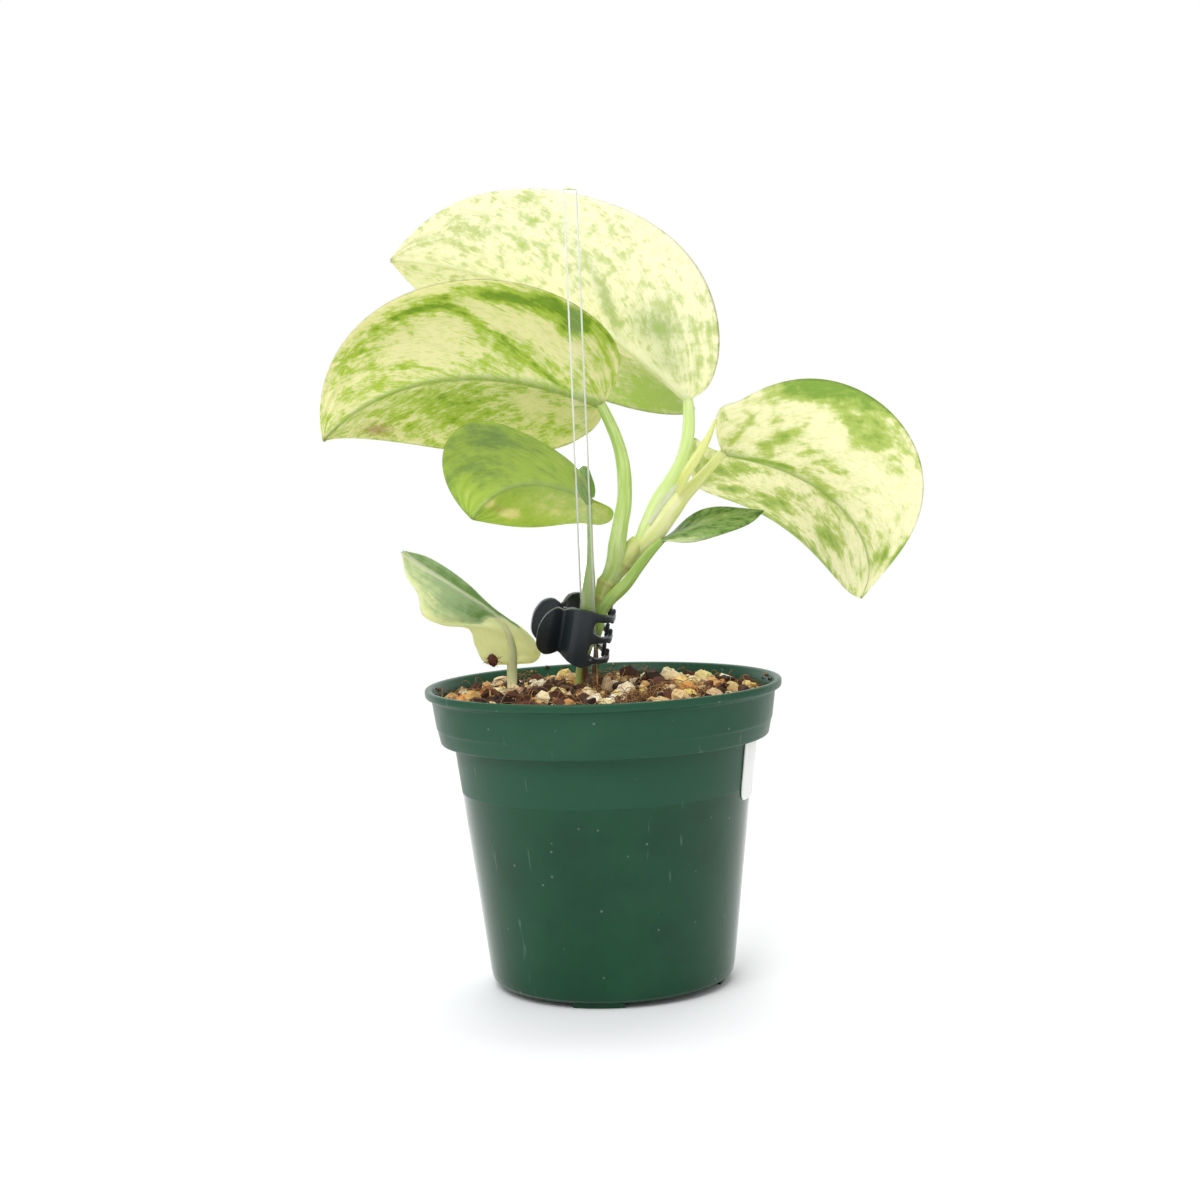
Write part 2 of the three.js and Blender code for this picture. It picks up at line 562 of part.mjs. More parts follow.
// One half of the clip in the hinge's own frame: pin along Z, fingers to +X, plate bulging to -Y.
function makeJaw(lugs) {
  const centreLine = [
    [-7.2, -8.2], [-3.8, -6.4], [-0.9, -3.9], [0.6, -3.9], [3, -7.6], [7, -9.4], [11.3, -8],
    [13.5, -4.5], [13.9, -1.6],
  ];
  const plate = solid(extrude(ribbonShape(centreLine, CLIP.plate, 16), -12, 14));

  const outline = new THREE.Shape();
  outline.moveTo(-0.4, -3.9);
  const curveTo = (...points) => outline.splineThru(points.map(([x, z]) => new THREE.Vector2(x, z)));
  curveTo([-2.4, -4.5], [-4.8, -4.2], [-6.8, -1.6], [-6.9, 3.1], [-5.2, 7.2], [-2.4, 9], [-0.3, 8.1]);
  curveTo([2.5, 9.9], [7.4, 10.3], [15, 8.4]);
  outline.lineTo(15, 7.2);
  outline.lineTo(11.4, 7.5);
  curveTo([9, 7.3], [8.6, 4.5], [11.4, 2.9]);
  outline.lineTo(15, 2.6);
  outline.lineTo(15, 1.3);
  outline.lineTo(11.4, 1.4);
  curveTo([8.7, 1], [8.1, -2], [11, -3.3]);
  outline.lineTo(15, -3.3);
  outline.lineTo(15, -4.6);
  outline.lineTo(10, -4.6);
  curveTo([7.4, -6], [4.6, -6], [1.4, -4.8], [-0.4, -3.9]);
  const window = extrude(outline, -2, 12, 4).rotateX(Math.PI / 2);
  let jaw = plate.intersect(solid(window));

  for (const z of [7.9, 2, -3.9]) {
    const hook = new THREE.CapsuleGeometry(0.62, 3.2, 2, 8).rotateX(Math.PI / 2);
    jaw = jaw.add(solid(hook.translate(13.8, -1.35, z)));
  }
  for (const z of lugs) {
    const lug = new THREE.Shape();
    lug.absarc(0, 0, CLIP.lugRadius, 0, Math.PI, false);
    lug.lineTo(-CLIP.lugRadius, -3.9);
    lug.lineTo(CLIP.lugRadius, -3.9);
    lug.holes.push(new THREE.Path().absarc(0, 0, CLIP.boreRadius, 0, 2 * Math.PI, true));
    jaw = jaw.add(solid(extrude(lug, z, z + CLIP.lugWidth, 8)));
  }
  return jaw;
}

// The torsion spring: coils round the pin and a leg along each thumb tab.
function makeSpring() {
  const { springRadius: r, wireRadius, springTop, springTurns, springPitch } = CLIP;
  const steps = 34;
  const path = [[-4.4, 3.4, springTop, wireRadius]];
  for (let i = 0; i <= steps; i++) {
    const turn = (springTurns * i) / steps;
    const a = radians(59) - 2 * Math.PI * turn;
    path.push([r * Math.cos(a), r * Math.sin(a), springTop - springPitch * turn, wireRadius]);
  }
  path.push([-4.8, -1.8, springTop - springPitch * springTurns, wireRadius]);
  return tube(path, { steps: path.length - 1, sides: 6, reference: [0, 0, 1] });
}

function makeClip() {
  const clip = new THREE.Group();
  clip.position.set(...CLIP.position);
  clip.rotation.set(...CLIP.lean.map(radians), 0);

  const black = { roughness: 0.38 };
  clip.add(mesh("clip_front_jaw", makeJaw([5.9, -3.3]), 0x1d2326, black));
  const rear = mesh("clip_rear_jaw", makeJaw([4.1, -1.5]), 0x1d2326, black);
  rear.scale.y = -1;
  rear.rotation.z = radians(CLIP.rearOpen);
  clip.add(rear);

  const length = CLIP.pinTo - CLIP.pinFrom;
  const pin = new THREE.CylinderGeometry(CLIP.pinRadius, CLIP.pinRadius, length, 16);
  pin.rotateX(Math.PI / 2);
  const steel = { roughness: 0.3, metalness: 1 };
  const pinMesh = mesh("clip_pin", solid(pin), 0xb8bcc0, steel);
  pinMesh.position.z = (CLIP.pinFrom + CLIP.pinTo) / 2;
  clip.add(pinMesh);
  clip.add(mesh("clip_spring", makeSpring(), 0xb8bcc0, steel));
  return clip;
}

// Assembly.
const plant = new THREE.Group();
plant.add(makePot(), makeLabel());

const stemOf = (name, extra = 0) => tube(STEMS[name].path, { ...STEMS[name], extra });
for (const [name, stem] of Object.entries(STEMS)) {
  const body = stem.avoid.reduce((kept, other) => kept.subtract(stemOf(other, GAP)), stemOf(name));
  plant.add(mesh(name, largest(body), stem.color));
}

const stalkOf = {
  leaf_upper: "stalk_upper",
  leaf_left: "stalk_left",
  leaf_small: "stalk_small",
  leaf_right: "stalk_right",
  leaf_young: "stalk_young",
};
for (const [name, leaf] of Object.entries(LEAVES)) {
  const body = makeLeaf(leaf).subtract(stemOf(stalkOf[name], GAP));
  plant.add(mesh(name, largest(body), leaf.color));
}
plant.add(mesh("leaf_old", largest(makeOldLeaf().subtract(stemOf("stalk_old", GAP))), OLD_LEAF.color));

let mix = makeMixBody().subtract(stakeBox(GAP));
for (const name of ["main_stem", "stalk_old", "aerial_root_1", "aerial_root_2"]) {
  mix = mix.subtract(stemOf(name, GAP));
}
Object.entries(LUMPS).forEach(([name, piece], i) => {
  mix = mix.subtract(pocket(piece, i + 1));
  plant.add(mesh(name, lump(piece, i + 1), piece.color, { roughness: 0.9 }));
});
plant.add(mesh("potting_mix", largest(mix), 0x3a281e, { roughness: 0.95 }));

const clear = { roughness: 0.08, transparent: true, opacity: 0.35 };
plant.add(mesh("stake", stakeBox(0), 0xf4f8f6, clear), makeClip());

export default plant;
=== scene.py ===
"""Marble queen pothos in a green nursery pot, tied to a clear stake by a small claw clip.

Classes hold their sizes in millimetres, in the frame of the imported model: +Z up, -Y the front, the
origin on the ground under the pot's axis. A mesh is turned into metres when its piece is made.
"""

import logging
import math
from collections.abc import Sequence
from dataclasses import dataclass, field
from enum import Enum

import bpy
import numpy as np
from bpy.types import Material, Mesh, Node, NodeSocket, NodeTree, Object
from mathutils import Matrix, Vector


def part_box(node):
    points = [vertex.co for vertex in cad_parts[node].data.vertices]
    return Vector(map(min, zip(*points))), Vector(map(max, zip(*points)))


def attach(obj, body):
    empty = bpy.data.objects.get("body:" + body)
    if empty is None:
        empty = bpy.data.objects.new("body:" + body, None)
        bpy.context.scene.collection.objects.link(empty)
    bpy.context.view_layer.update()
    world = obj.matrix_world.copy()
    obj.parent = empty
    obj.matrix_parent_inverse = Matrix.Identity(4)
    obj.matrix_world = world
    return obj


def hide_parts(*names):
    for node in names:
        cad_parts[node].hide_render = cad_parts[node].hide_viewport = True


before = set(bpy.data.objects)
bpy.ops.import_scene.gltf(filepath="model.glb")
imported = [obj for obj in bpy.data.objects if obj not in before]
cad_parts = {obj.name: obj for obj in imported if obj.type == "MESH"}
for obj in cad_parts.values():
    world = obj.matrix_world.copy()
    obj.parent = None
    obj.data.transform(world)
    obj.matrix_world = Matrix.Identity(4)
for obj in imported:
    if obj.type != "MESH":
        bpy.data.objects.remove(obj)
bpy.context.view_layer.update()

LOG = logging.getLogger("pothos")
MM = 0.001
# A side vein runs forward by this share of the blade on its way to the edge
VEIN_REACH = 0.62
# Below one, it bends forward as it runs out
VEIN_BEND = 0.85
# Length of a side vein, in millimetres, over which the marbling runs once
VEIN_LENGTH = 35.0
# How much a step across a blade counts against the same step along it
ACROSS_SCALE = 0.45

Point = tuple[float, float, float]
Array = np.ndarray
Feed = float | tuple[float, ...] | NodeSocket


class Body(Enum):
    """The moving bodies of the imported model."""

    PLANT = "plant"
    FRONT_JAW = "front_jaw"


class Half(Enum):
    """The two halves of a blade, as seen from the stalk."""

    LEFT = 0
    RIGHT = 1

    @property
    def sign(self) -> int:
        """+1 towards the left, -1 towards the right."""
        return 1 if self is Half.LEFT else -1


# Surfaces


@dataclass
class Surface:
    """Points in millimetres with the faces between them, and what the points carry.

    Attributes:
        points: One row x, y, z for each point.
        faces: Arrays of point numbers, one row for each face, all rows of an array equally long.
        values: Named numbers for each point, read by the materials.
    """

    points: Array
    faces: list[Array]
    values: dict[str, Array] = field(default_factory=dict)

    def volume(self) -> float:
        """Signed volume: a sixth of the sum of a . (b x c) over the faces' triangles.

        Returns:
            The volume, negative where the faces point inwards.
        """
        total = 0.0
        for face in self.faces:
            corners = self.points[face]
            for k in range(1, face.shape[1] - 1):
                crossed = np.cross(corners[:, k], corners[:, k + 1])
                total += float(np.einsum("ij,ij->", corners[:, 0], crossed)) / 6
        return total

    def toned(self, tone: float) -> "Surface":
        """The same surface, its points all given one tone."""
        self.values["tone"] = np.full(len(self.points), tone)
        return self

    def outward(self) -> "Surface":
        """The same closed surface with every face pointing outwards."""
        if self.volume() < 0:
            self.faces = [face[:, ::-1] for face in self.faces]
        return self


def joined(surfaces: Sequence[Surface]) -> Surface:
    """Several surfaces as one, point numbers shifted.

    Args:
        surfaces: The surfaces.

    Returns:
        One surface with the values that all of them carry.
    """
    points, faces, start = [], [], 0
    for part in surfaces:
        points.append(part.points)
        faces += [face + start for face in part.faces]
        start += len(part.points)
    shared = set.intersection(*(set(part.values) for part in surfaces))
    values = {key: np.concatenate([part.values[key] for part in surfaces]) for key in sorted(shared)}
    return Surface(np.concatenate(points), faces, values)


def loft(sections: Array) -> Surface:
    """A closed skin through rings of points, each end closed by a fan to the ring's middle.

    Args:
        sections: Array of shape (rings, points of a ring, 3).

    Returns:
        The surface, faces outward; the two fan centres are its last points.
    """
    rings, count, _ = sections.shape
    index = np.arange(rings * count).reshape(rings, count)
    after = np.roll(index, -1, axis=1)
    quads = np.stack([index[:-1], after[:-1], after[1:], index[1:]], -1).reshape(-1, 4)
    ends = [(index[0][::-1], rings * count), (index[-1], rings * count + 1)]
    fans = [np.stack([ring, np.roll(ring, -1), np.full(count, pole)], -1) for ring, pole in ends]
    poles = np.stack([sections[0].mean(0), sections[-1].mean(0)])
    return Surface(np.concatenate([sections.reshape(-1, 3), poles]), [quads, *fans]).outward()


def smooth_path(points: Array, steps: int, even: bool = False) -> Array:
    """Points on a Catmull-Rom curve through the given points, ends continued straight.

    Each span is the cubic that leaves and reaches its ends with the slopes of their neighbours,
    knots spaced by the square root of the distance, or evenly.

    Args:
        points: Rows of coordinates.
        steps: Number of spans to cut the curve into.
        even: Whether the knots are evenly spaced.

    Returns:
        steps + 1 rows of coordinates.
    """
    given = np.asarray(points, float)
    ends = [2 * given[0] - given[1]], [2 * given[-1] - given[-2]]
    knots = np.concatenate([ends[0], given, ends[1]])
    place = np.linspace(0, len(given) - 1, steps + 1)
    span = np.minimum(place.astype(int), len(given) - 2)
    w = (place - span)[:, None]
    p0, p1, p2, p3 = (knots[span + k] for k in range(4))
    if even:
        d0 = d1 = d2 = np.ones((len(span), 1))
    else:
        spans = ((p0, p1), (p1, p2), (p2, p3))
        gaps = [np.sqrt(np.linalg.norm(b - a, axis=1, keepdims=True)) for a, b in spans]
        d0, d1, d2 = (np.maximum(gap, 1e-4) for gap in gaps)
    leave = ((p1 - p0) / d0 - (p2 - p0) / (d0 + d1) + (p2 - p1) / d1) * d1
    reach = ((p2 - p1) / d1 - (p3 - p1) / (d1 + d2) + (p3 - p2) / d2) * d1
    return (
        p1
        + leave * w
        + (3 * (p2 - p1) - 2 * leave - reach) * w**2
        + (2 * (p1 - p2) + leave + reach) * w**3
    )


def bell(distance: Array, width: float) -> Array:
    """A bump of height one round distance zero: exp of minus the square of distance over width."""
    return np.exp(-((distance / width) ** 2))


def unit(vectors: Array) -> Array:
    """Vectors scaled to length one."""
    return vectors / np.maximum(np.linalg.norm(vectors, axis=-1, keepdims=True), 1e-12)


def bumps(points: Array, size: float, seed: int, waves: int = 24) -> Array:
    """Uneven swells from about -1 to 1: a sum of plane waves of random direction and phase.

    Args:
        points: Points of any array shape, last axis x, y, z.
        size: Length of a swell.
        seed: Draws the waves.
        waves: Number of waves.

    Returns:
        One number for each point.
    """
    rng = np.random.default_rng(seed)
    heading = unit(rng.normal(size=(waves, 3))) * rng.uniform(0.5, 1.6, (waves, 1)) * 2 * math.pi / size
    phase = rng.uniform(0, 2 * math.pi, waves)
    return np.sin(points @ heading.T + phase).sum(-1) * math.sqrt(2 / waves) / 1.6


def tube(
    path: Array, radii: Array, flat: float = 1.0, sides: int = 24, reference: Point = (0, 1, 0)
) -> Surface:
    """An elliptical section carried along a path.

    The section at a point is centre + side r cos a + depth r flat sin a, where side is square to
    the path and to the reference direction.

    Args:
        path: Centre points.
        radii: Radius at each centre, or one row of radii over the angle for each centre.
        flat: Depth over width of the section.
        sides: Points round the section.
        reference: Direction of the section's depth.

    Returns:
        The closed surface.
    """
    tangent = unit(np.gradient(path, axis=0))
    side = unit(np.cross(np.asarray(reference, float), tangent))
    depth = np.cross(tangent, side)
    a = np.linspace(0, 2 * math.pi, sides, endpoint=False)
    r = radii if np.ndim(radii) == 2 else np.asarray(radii)[:, None]
    ring = side[:, None] * (np.cos(a) * r)[..., None] + depth[:, None] * (np.sin(a) * r * flat)[..., None]
    return loft(path[:, None] + ring)


def rounded(outline: Sequence[tuple[float, float]], radius: float, steps: int = 4) -> Array:
    """A profile whose inner corners are rounded by short parabolas.

    Args:
        outline: The corners.
        radius: How far from its corner a parabola starts, within 0.45 of the side.
        steps: Spans of a parabola.

    Returns:
        The points of the rounded profile.
    """
    corners = np.asarray(outline, float)
    made = [corners[:1]]
    w = np.linspace(0, 1, steps + 1)[:, None]
    for before, corner, after in zip(corners, corners[1:], corners[2:]):
        into, out = before - corner, after - corner
        reach_in = min(radius, np.linalg.norm(into) * 0.45)
        reach_out = min(radius, np.linalg.norm(out) * 0.45)
        a = corner + unit(into) * reach_in
        b = corner + unit(out) * reach_out
        made.append((1 - w) ** 2 * a + 2 * w * (1 - w) * corner + w**2 * b)
    made.append(corners[-1:])
    return np.concatenate(made)


def lathe(profile: Array, segments: int) -> Surface:
    """A profile turned about Z.

    Args:
        profile: Rows of radius and height; the first and the last lie on the axis.
        segments: Points of each ring.

    Returns:
        The closed surface.
    """
    a = np.linspace(0, 2 * math.pi, segments, endpoint=False)
    r, z = profile[1:-1, :1], profile[1:-1, 1:]
    rings = np.stack([r * np.cos(a), r * np.sin(a), z + 0 * a], -1)
    surface = loft(rings)
    surface.points[-2:] = [[0, 0, profile[0, 1]], [0, 0, profile[-1, 1]]]
    return surface


def prism(outline: Array, low: float, high: float) -> Surface:
    """A flat outline raised from one height to another.

    Args:
        outline: Rows of x and y.
        low: Height of the lower face.
        high: Height of the upper face.

    Returns:
        The closed surface.
    """
    flat = np.asarray(outline, float)
    rings = [np.column_stack([flat, np.full(len(flat), z)]) for z in (low, high)]
    return loft(np.stack(rings))


def ball(rings: int = 28, sides: int = 40) -> tuple[Surface, Array]:
    """A unit ball by latitude and longitude.

    Args:
        rings: Rings between the poles.
        sides: Points of each ring.

    Returns:
        The closed surface, and the direction of each of its points.
    """
    latitude = np.linspace(0, math.pi, rings + 2)[1:-1, None]
    a = np.linspace(0, 2 * math.pi, sides, endpoint=False)
    out = np.sin(latitude)
    surface = loft(np.stack([out * np.cos(a), out * np.sin(a), np.cos(latitude) + 0 * a], -1))
    surface.points[-2:] = [[0, 0, 1], [0, 0, -1]]
    return surface, surface.points.copy()


def faced_out(points: Array, faces: Array) -> Array:
    """Faces round the origin, turned over where (b - a) x (c - a) points back to it.

    Args:
        points: The corners.
        faces: Rows of point numbers.

    Returns:
        The faces, all outward.
    """
    a, b, c = (points[faces[:, k]] for k in range(3))
    inward = np.einsum("ij,ij->i", np.cross(b - a, c - a), a) < 0
    faces[inward] = faces[inward][:, ::-1]
    return faces


def icosahedron() -> tuple[Array, Array]:
    """A unit icosahedron: near corners, less than 1.2 apart, share an edge.

    Returns:
        Its twelve corners and its twenty outward faces.
    """
    golden = (1 + math.sqrt(5)) / 2
    signs = [(i, j) for i in (-1, 1) for j in (-1, 1)]
    rows = [(0, i, j * golden) for i, j in signs]
    rows += [(i, j * golden, 0) for i, j in signs]
    rows += [(j * golden, 0, i) for i, j in signs]
    corners = unit(np.array(rows, float))
    near = np.linalg.norm(corners[:, None] - corners, axis=-1) < 1.2
    triples = [
        (i, j, k)
        for i in range(12)
        for j in range(i + 1, 12)
        for k in range(j + 1, 12)
        if near[i, j] and near[j, k] and near[i, k]
    ]
    return corners, faced_out(corners, np.array(triples))


def cube_ball(cuts: int) -> tuple[Array, Array]:
    """A unit ball blown up from a cube.

    Args:
        cuts: Faces along each edge of the cube.

    Returns:
        Its points and its outward faces.
    """
    step = np.linspace(-1, 1, cuts + 1)
    flat = np.stack(np.meshgrid(step, step, indexing="ij"), -1).reshape(-1, 2)
    index = np.arange((cuts + 1) ** 2).reshape(cuts + 1, cuts + 1)
    quads = np.stack([index[:-1, :-1], index[1:, :-1], index[1:, 1:], index[:-1, 1:]], -1).reshape(-1, 4)
    sides = [np.insert(flat, axis, sign, axis=1) for axis in range(3) for sign in (-1, 1)]
    numbers = np.concatenate([quads + side * len(flat) for side in range(6)])
    merged, place = np.unique(np.concatenate(sides).round(6), axis=0, return_inverse=True)
    return unit(merged), faced_out(merged, place.ravel()[numbers])


def with_poles(grid: Array) -> Array:
    """Numbers of a loft's rings, followed by those of its two fan centres."""
    return np.concatenate([grid.ravel(), grid[0, :1], grid[-1, :1]])


def random_turns(count: int, rng: np.random.Generator) -> Array:
    """Random rotations: the Q of matrices of normal draws, with a determinant of one."""
    turns = np.linalg.qr(rng.normal(size=(count, 3, 3)))[0]
    return turns * np.sign(np.linalg.det(turns))[:, None, None]


def stone(seed: int, planes: int = 16, softness: float = 14.0, rough: float = 0.05) -> Surface:
    """A crushed stone of radius about one: a ball cut by random planes with softened edges.

    In a direction d the radius is the soft minimum of h / (n . d) over the planes (n, h), times
    one plus fine bumps.

    Args:
        seed: Draws the planes and the bumps.
        planes: Number of planes.
        softness: Larger for crisper edges.
        rough: Depth of the bumps.

    Returns:
        The closed surface.
    """
    rng = np.random.default_rng(seed)
    surface, direction = ball()
    normals = unit(rng.normal(size=(planes, 3)))
    offsets = rng.uniform(0.72, 1.0, planes)
    facing = np.maximum(direction @ normals.T, 0.05) / offsets
    radius = (facing**softness).sum(-1) ** (-1 / softness)
    uneven = 1 + rough * bumps(direction, 0.5, seed) + rough / 2 * bumps(direction, 0.2, seed + 1)
    radius = np.minimum(radius, 1.15) * uneven
    surface.points = direction * radius[:, None]
    return surface


def fitted(surface: Surface, node: str) -> Surface:
    """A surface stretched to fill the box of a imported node.

    Args:
        surface: The surface, of any size.
        node: Name of the node.

    Returns:
        The same surface, in place.
    """
    low, high = (np.array(corner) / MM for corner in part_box(node))
    least, most = surface.points.min(0), surface.points.max(0)
    surface.points = low + (surface.points - least) / (most - least) * (high - low)
    return surface


# Pieces


def mesh_of(name: str, surface: Surface, crease: float | None = None) -> Mesh:
    """A Blender mesh in metres with smooth shading and its named values.

    Args:
        name: Name of the mesh.
        surface: What it is made of, in millimetres.
        crease: Angle in degrees over which an edge stays sharp, or None.

    Returns:
        The mesh.
    """
    mesh = bpy.data.meshes.new(name)
    sizes = np.concatenate([np.full(len(face), face.shape[1]) for face in surface.faces])
    corners = np.concatenate([face.ravel() for face in surface.faces]).astype(np.int32)
    starts = np.concatenate([[0], np.cumsum(sizes)[:-1]]).astype(np.int32)
    mesh.vertices.add(len(surface.points))
    mesh.vertices.foreach_set("co", (surface.points * MM).astype(np.float32).ravel())
    mesh.loops.add(len(corners))
    mesh.loops.foreach_set("vertex_index", corners)
    mesh.polygons.add(len(sizes))
    mesh.polygons.foreach_set("loop_start", starts)
    for key, numbers in surface.values.items():
        attribute = mesh.attributes.new(key, "FLOAT", "POINT")
        attribute.data.foreach_set("value", np.asarray(numbers, np.float32))
    mesh.update(calc_edges=True)
    mesh.shade_smooth()
    if crease is not None:
        mesh.set_sharp_from_angle(angle=math.radians(crease))
    return mesh


def object_of(name: str, data: bpy.types.ID) -> Object:
    """A new object of the scene with the data of a mesh, a light or a camera.

    Args:
        name: Its name.
        data: What it shows.

    Returns:
        The object.
    """
    made = bpy.data.objects.new(name, data)
    bpy.context.scene.collection.objects.link(made)
    return made


def shown(name: str, surface: Surface, crease: float | None = None) -> Object:
    """A new object of the scene that shows a surface, with the crease of mesh_of."""
    return object_of(name, mesh_of(name, surface, crease))


def settle(made: Object) -> None:
    """Replaces an object's mesh by what its modifiers make of it, and drops them.

    Args:
        made: The object.
    """
    graph = bpy.context.evaluated_depsgraph_get()
    finished = bpy.data.meshes.new_from_object(made.evaluated_get(graph))
    made.modifiers.clear()
    made.data = finished


def add_piece(
    made: Object,
    material: Material,
    nodes: Sequence[str] = (),
    body: Body = Body.PLANT,
) -> Object:
    """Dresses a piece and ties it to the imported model.

    Args:
        made: The finished object.
        material: Its finish.
        nodes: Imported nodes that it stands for.
        body: The body that it rides on.

    Returns:
        The same object.
    """
    made.data.materials.clear()
    made.data.materials.append(material)
    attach(made, body.value)
    if nodes:
        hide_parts(*nodes)
    LOG.info("%s: %d faces", made.name, len(made.data.polygons))
    return made


# Shading

DUST = 0xB9BDB2
PEAT_SHADE = 0x9A8468
RUST = 0xB8824C
LEAF_BLOOM = 0xD3DCC0
LIT_LEAF = 0xFAF8CC


def linear(code: int) -> tuple[float, float, float, float]:
    """A screen colour written as 0xRRGGBB, as the linear colour that shaders take."""
    parts = [((code >> shift) & 255) / 255 for shift in (16, 8, 0)]
    return (*(p / 12.92 if p <= 0.04045 else ((p + 0.055) / 1.055) ** 2.4 for p in parts), 1.0)


class Nodes:
    """Short calls that build a node tree, of a material or of a group."""

    def __init__(self, tree: NodeTree) -> None:
        """Starts on an empty tree."""
        self.tree = tree
        tree.nodes.clear()

    def add(self, kind: str, inputs: dict | None = None, **settings: object) -> Node:
        """Adds one node.

        Args:
            kind: Its type, without the leading ShaderNode.
            inputs: Socket name or number to a value, or to the output socket that feeds it.
            **settings: The node's own properties.

        Returns:
            The node.
        """
        node = self.tree.nodes.new(f"ShaderNode{kind}" if not kind.startswith("NodeGroup") else kind)
        for key, value in settings.items():
            setattr(node, key, value)
        for key, value in (inputs or {}).items():
            if isinstance(value, NodeSocket):
                self.tree.links.new(value, node.inputs[key])
            else:
                node.inputs[key].default_value = value
        return node

    def math(self, operation: str, *values: Feed) -> NodeSocket:
        """The result of one sum on numbers or sockets."""
        return self.add("Math", dict(enumerate(values)), operation=operation).outputs[0]

    def mix(self, factor: Feed, a: Feed, b: Feed, blend: str = "MIX") -> NodeSocket:
        """Colour a turned into b by factor."""
        node = self.add("Mix", {0: factor, 6: a, 7: b}, data_type="RGBA", blend_type=blend)
        return node.outputs[2]

    def step(self, value: Feed, low: float, high: float, a: float = 0.0, b: float = 1.0) -> NodeSocket:
        """A smooth rise from a at low to b at high."""
        inputs = {"Value": value, "From Min": low, "From Max": high, "To Min": a, "To Max": b}
        return self.add("MapRange", inputs, interpolation_type="SMOOTHSTEP").outputs[0]

    def noise(self, vector: Feed, scale: Feed, detail: float = 4.0, roughness: float = 0.6) -> NodeSocket:
        """Fractal noise from 0 to 1 over a vector."""
        inputs = {"Vector": vector, "Scale": scale, "Detail": detail, "Roughness": roughness}
        return self.add("TexNoise", inputs).outputs["Fac"]

    def object_point(self) -> NodeSocket:
        """The point in the object's own frame, in metres."""
        return self.add("TexCoord").outputs["Object"]

    def value(self, name: str) -> NodeSocket:
        """A named number that the mesh carries."""
        return self.add("Attribute", attribute_name=name).outputs["Fac"]

    def group(self, tree: NodeTree, inputs: dict) -> Node:
        """Places a node group with its own inputs."""
        return self.add("Group", inputs, node_tree=tree)

    def grain(self, scale: float) -> Node:
        """Places the shared grain over the object's own frame."""
        return self.group(Shared.grain, {"Point": self.object_point(), "Scale": scale})

    def bump(self, height: Feed, depth: float, strength: float = 1.0) -> NodeSocket:
        """The normal of a surface raised by height, depth in metres."""
        return self.add("Bump", {"Strength": strength, "Distance": depth, "Height": height}).outputs[0]

    def finish(self, inputs: dict[str, Feed], glow: float = 0.0, lit: Feed | None = None) -> None:
        """Ends a material with its surface shader.

        Args:
            inputs: What feeds the Principled BSDF.
            glow: Share of light let through from behind, for thin tissue.
            lit: Colour of that light; None for the base colour.
        """
        shader = self.add("BsdfPrincipled", inputs).outputs[0]
        if glow > 0:
            through = self.add("BsdfTranslucent", {"Color": inputs["Base Color"] if lit is None else lit})
            shader = self.add("MixShader", {0: glow, 1: shader, 2: through.outputs[0]}).outputs[0]
        self.add("OutputMaterial", {"Surface": shader})


def material_nodes(name: str) -> tuple[Material, Nodes]:
    """A new material, and the builder of its nodes.

    Args:
        name: Name of the material.

    Returns:
        The material, emptied, and its nodes.
    """
    material = bpy.data.materials.new(name)
    material.use_nodes = True
    return material, Nodes(material.node_tree)


def new_group(
    name: str, inputs: dict[str, float | None], outputs: Sequence[str]
) -> tuple[NodeTree, Nodes, Node]:
    """An empty node group.

    Args:
        name: Name of the group.
        inputs: Input name to its default number, or to None for a vector.
        outputs: Names of the number outputs.

    Returns:
        The group, the builder of its nodes, and its input node.
    """
    tree = bpy.data.node_groups.new(name, "ShaderNodeTree")
    for key, default in inputs.items():
        kind = "NodeSocketVector" if default is None else "NodeSocketFloat"
        socket = tree.interface.new_socket(key, in_out="INPUT", socket_type=kind)
        if default is not None:
            socket.default_value = default
    for key in outputs:
        tree.interface.new_socket(key, in_out="OUTPUT", socket_type="NodeSocketFloat")
    nodes = Nodes(tree)
    return tree, nodes, nodes.add("NodeGroupInput")


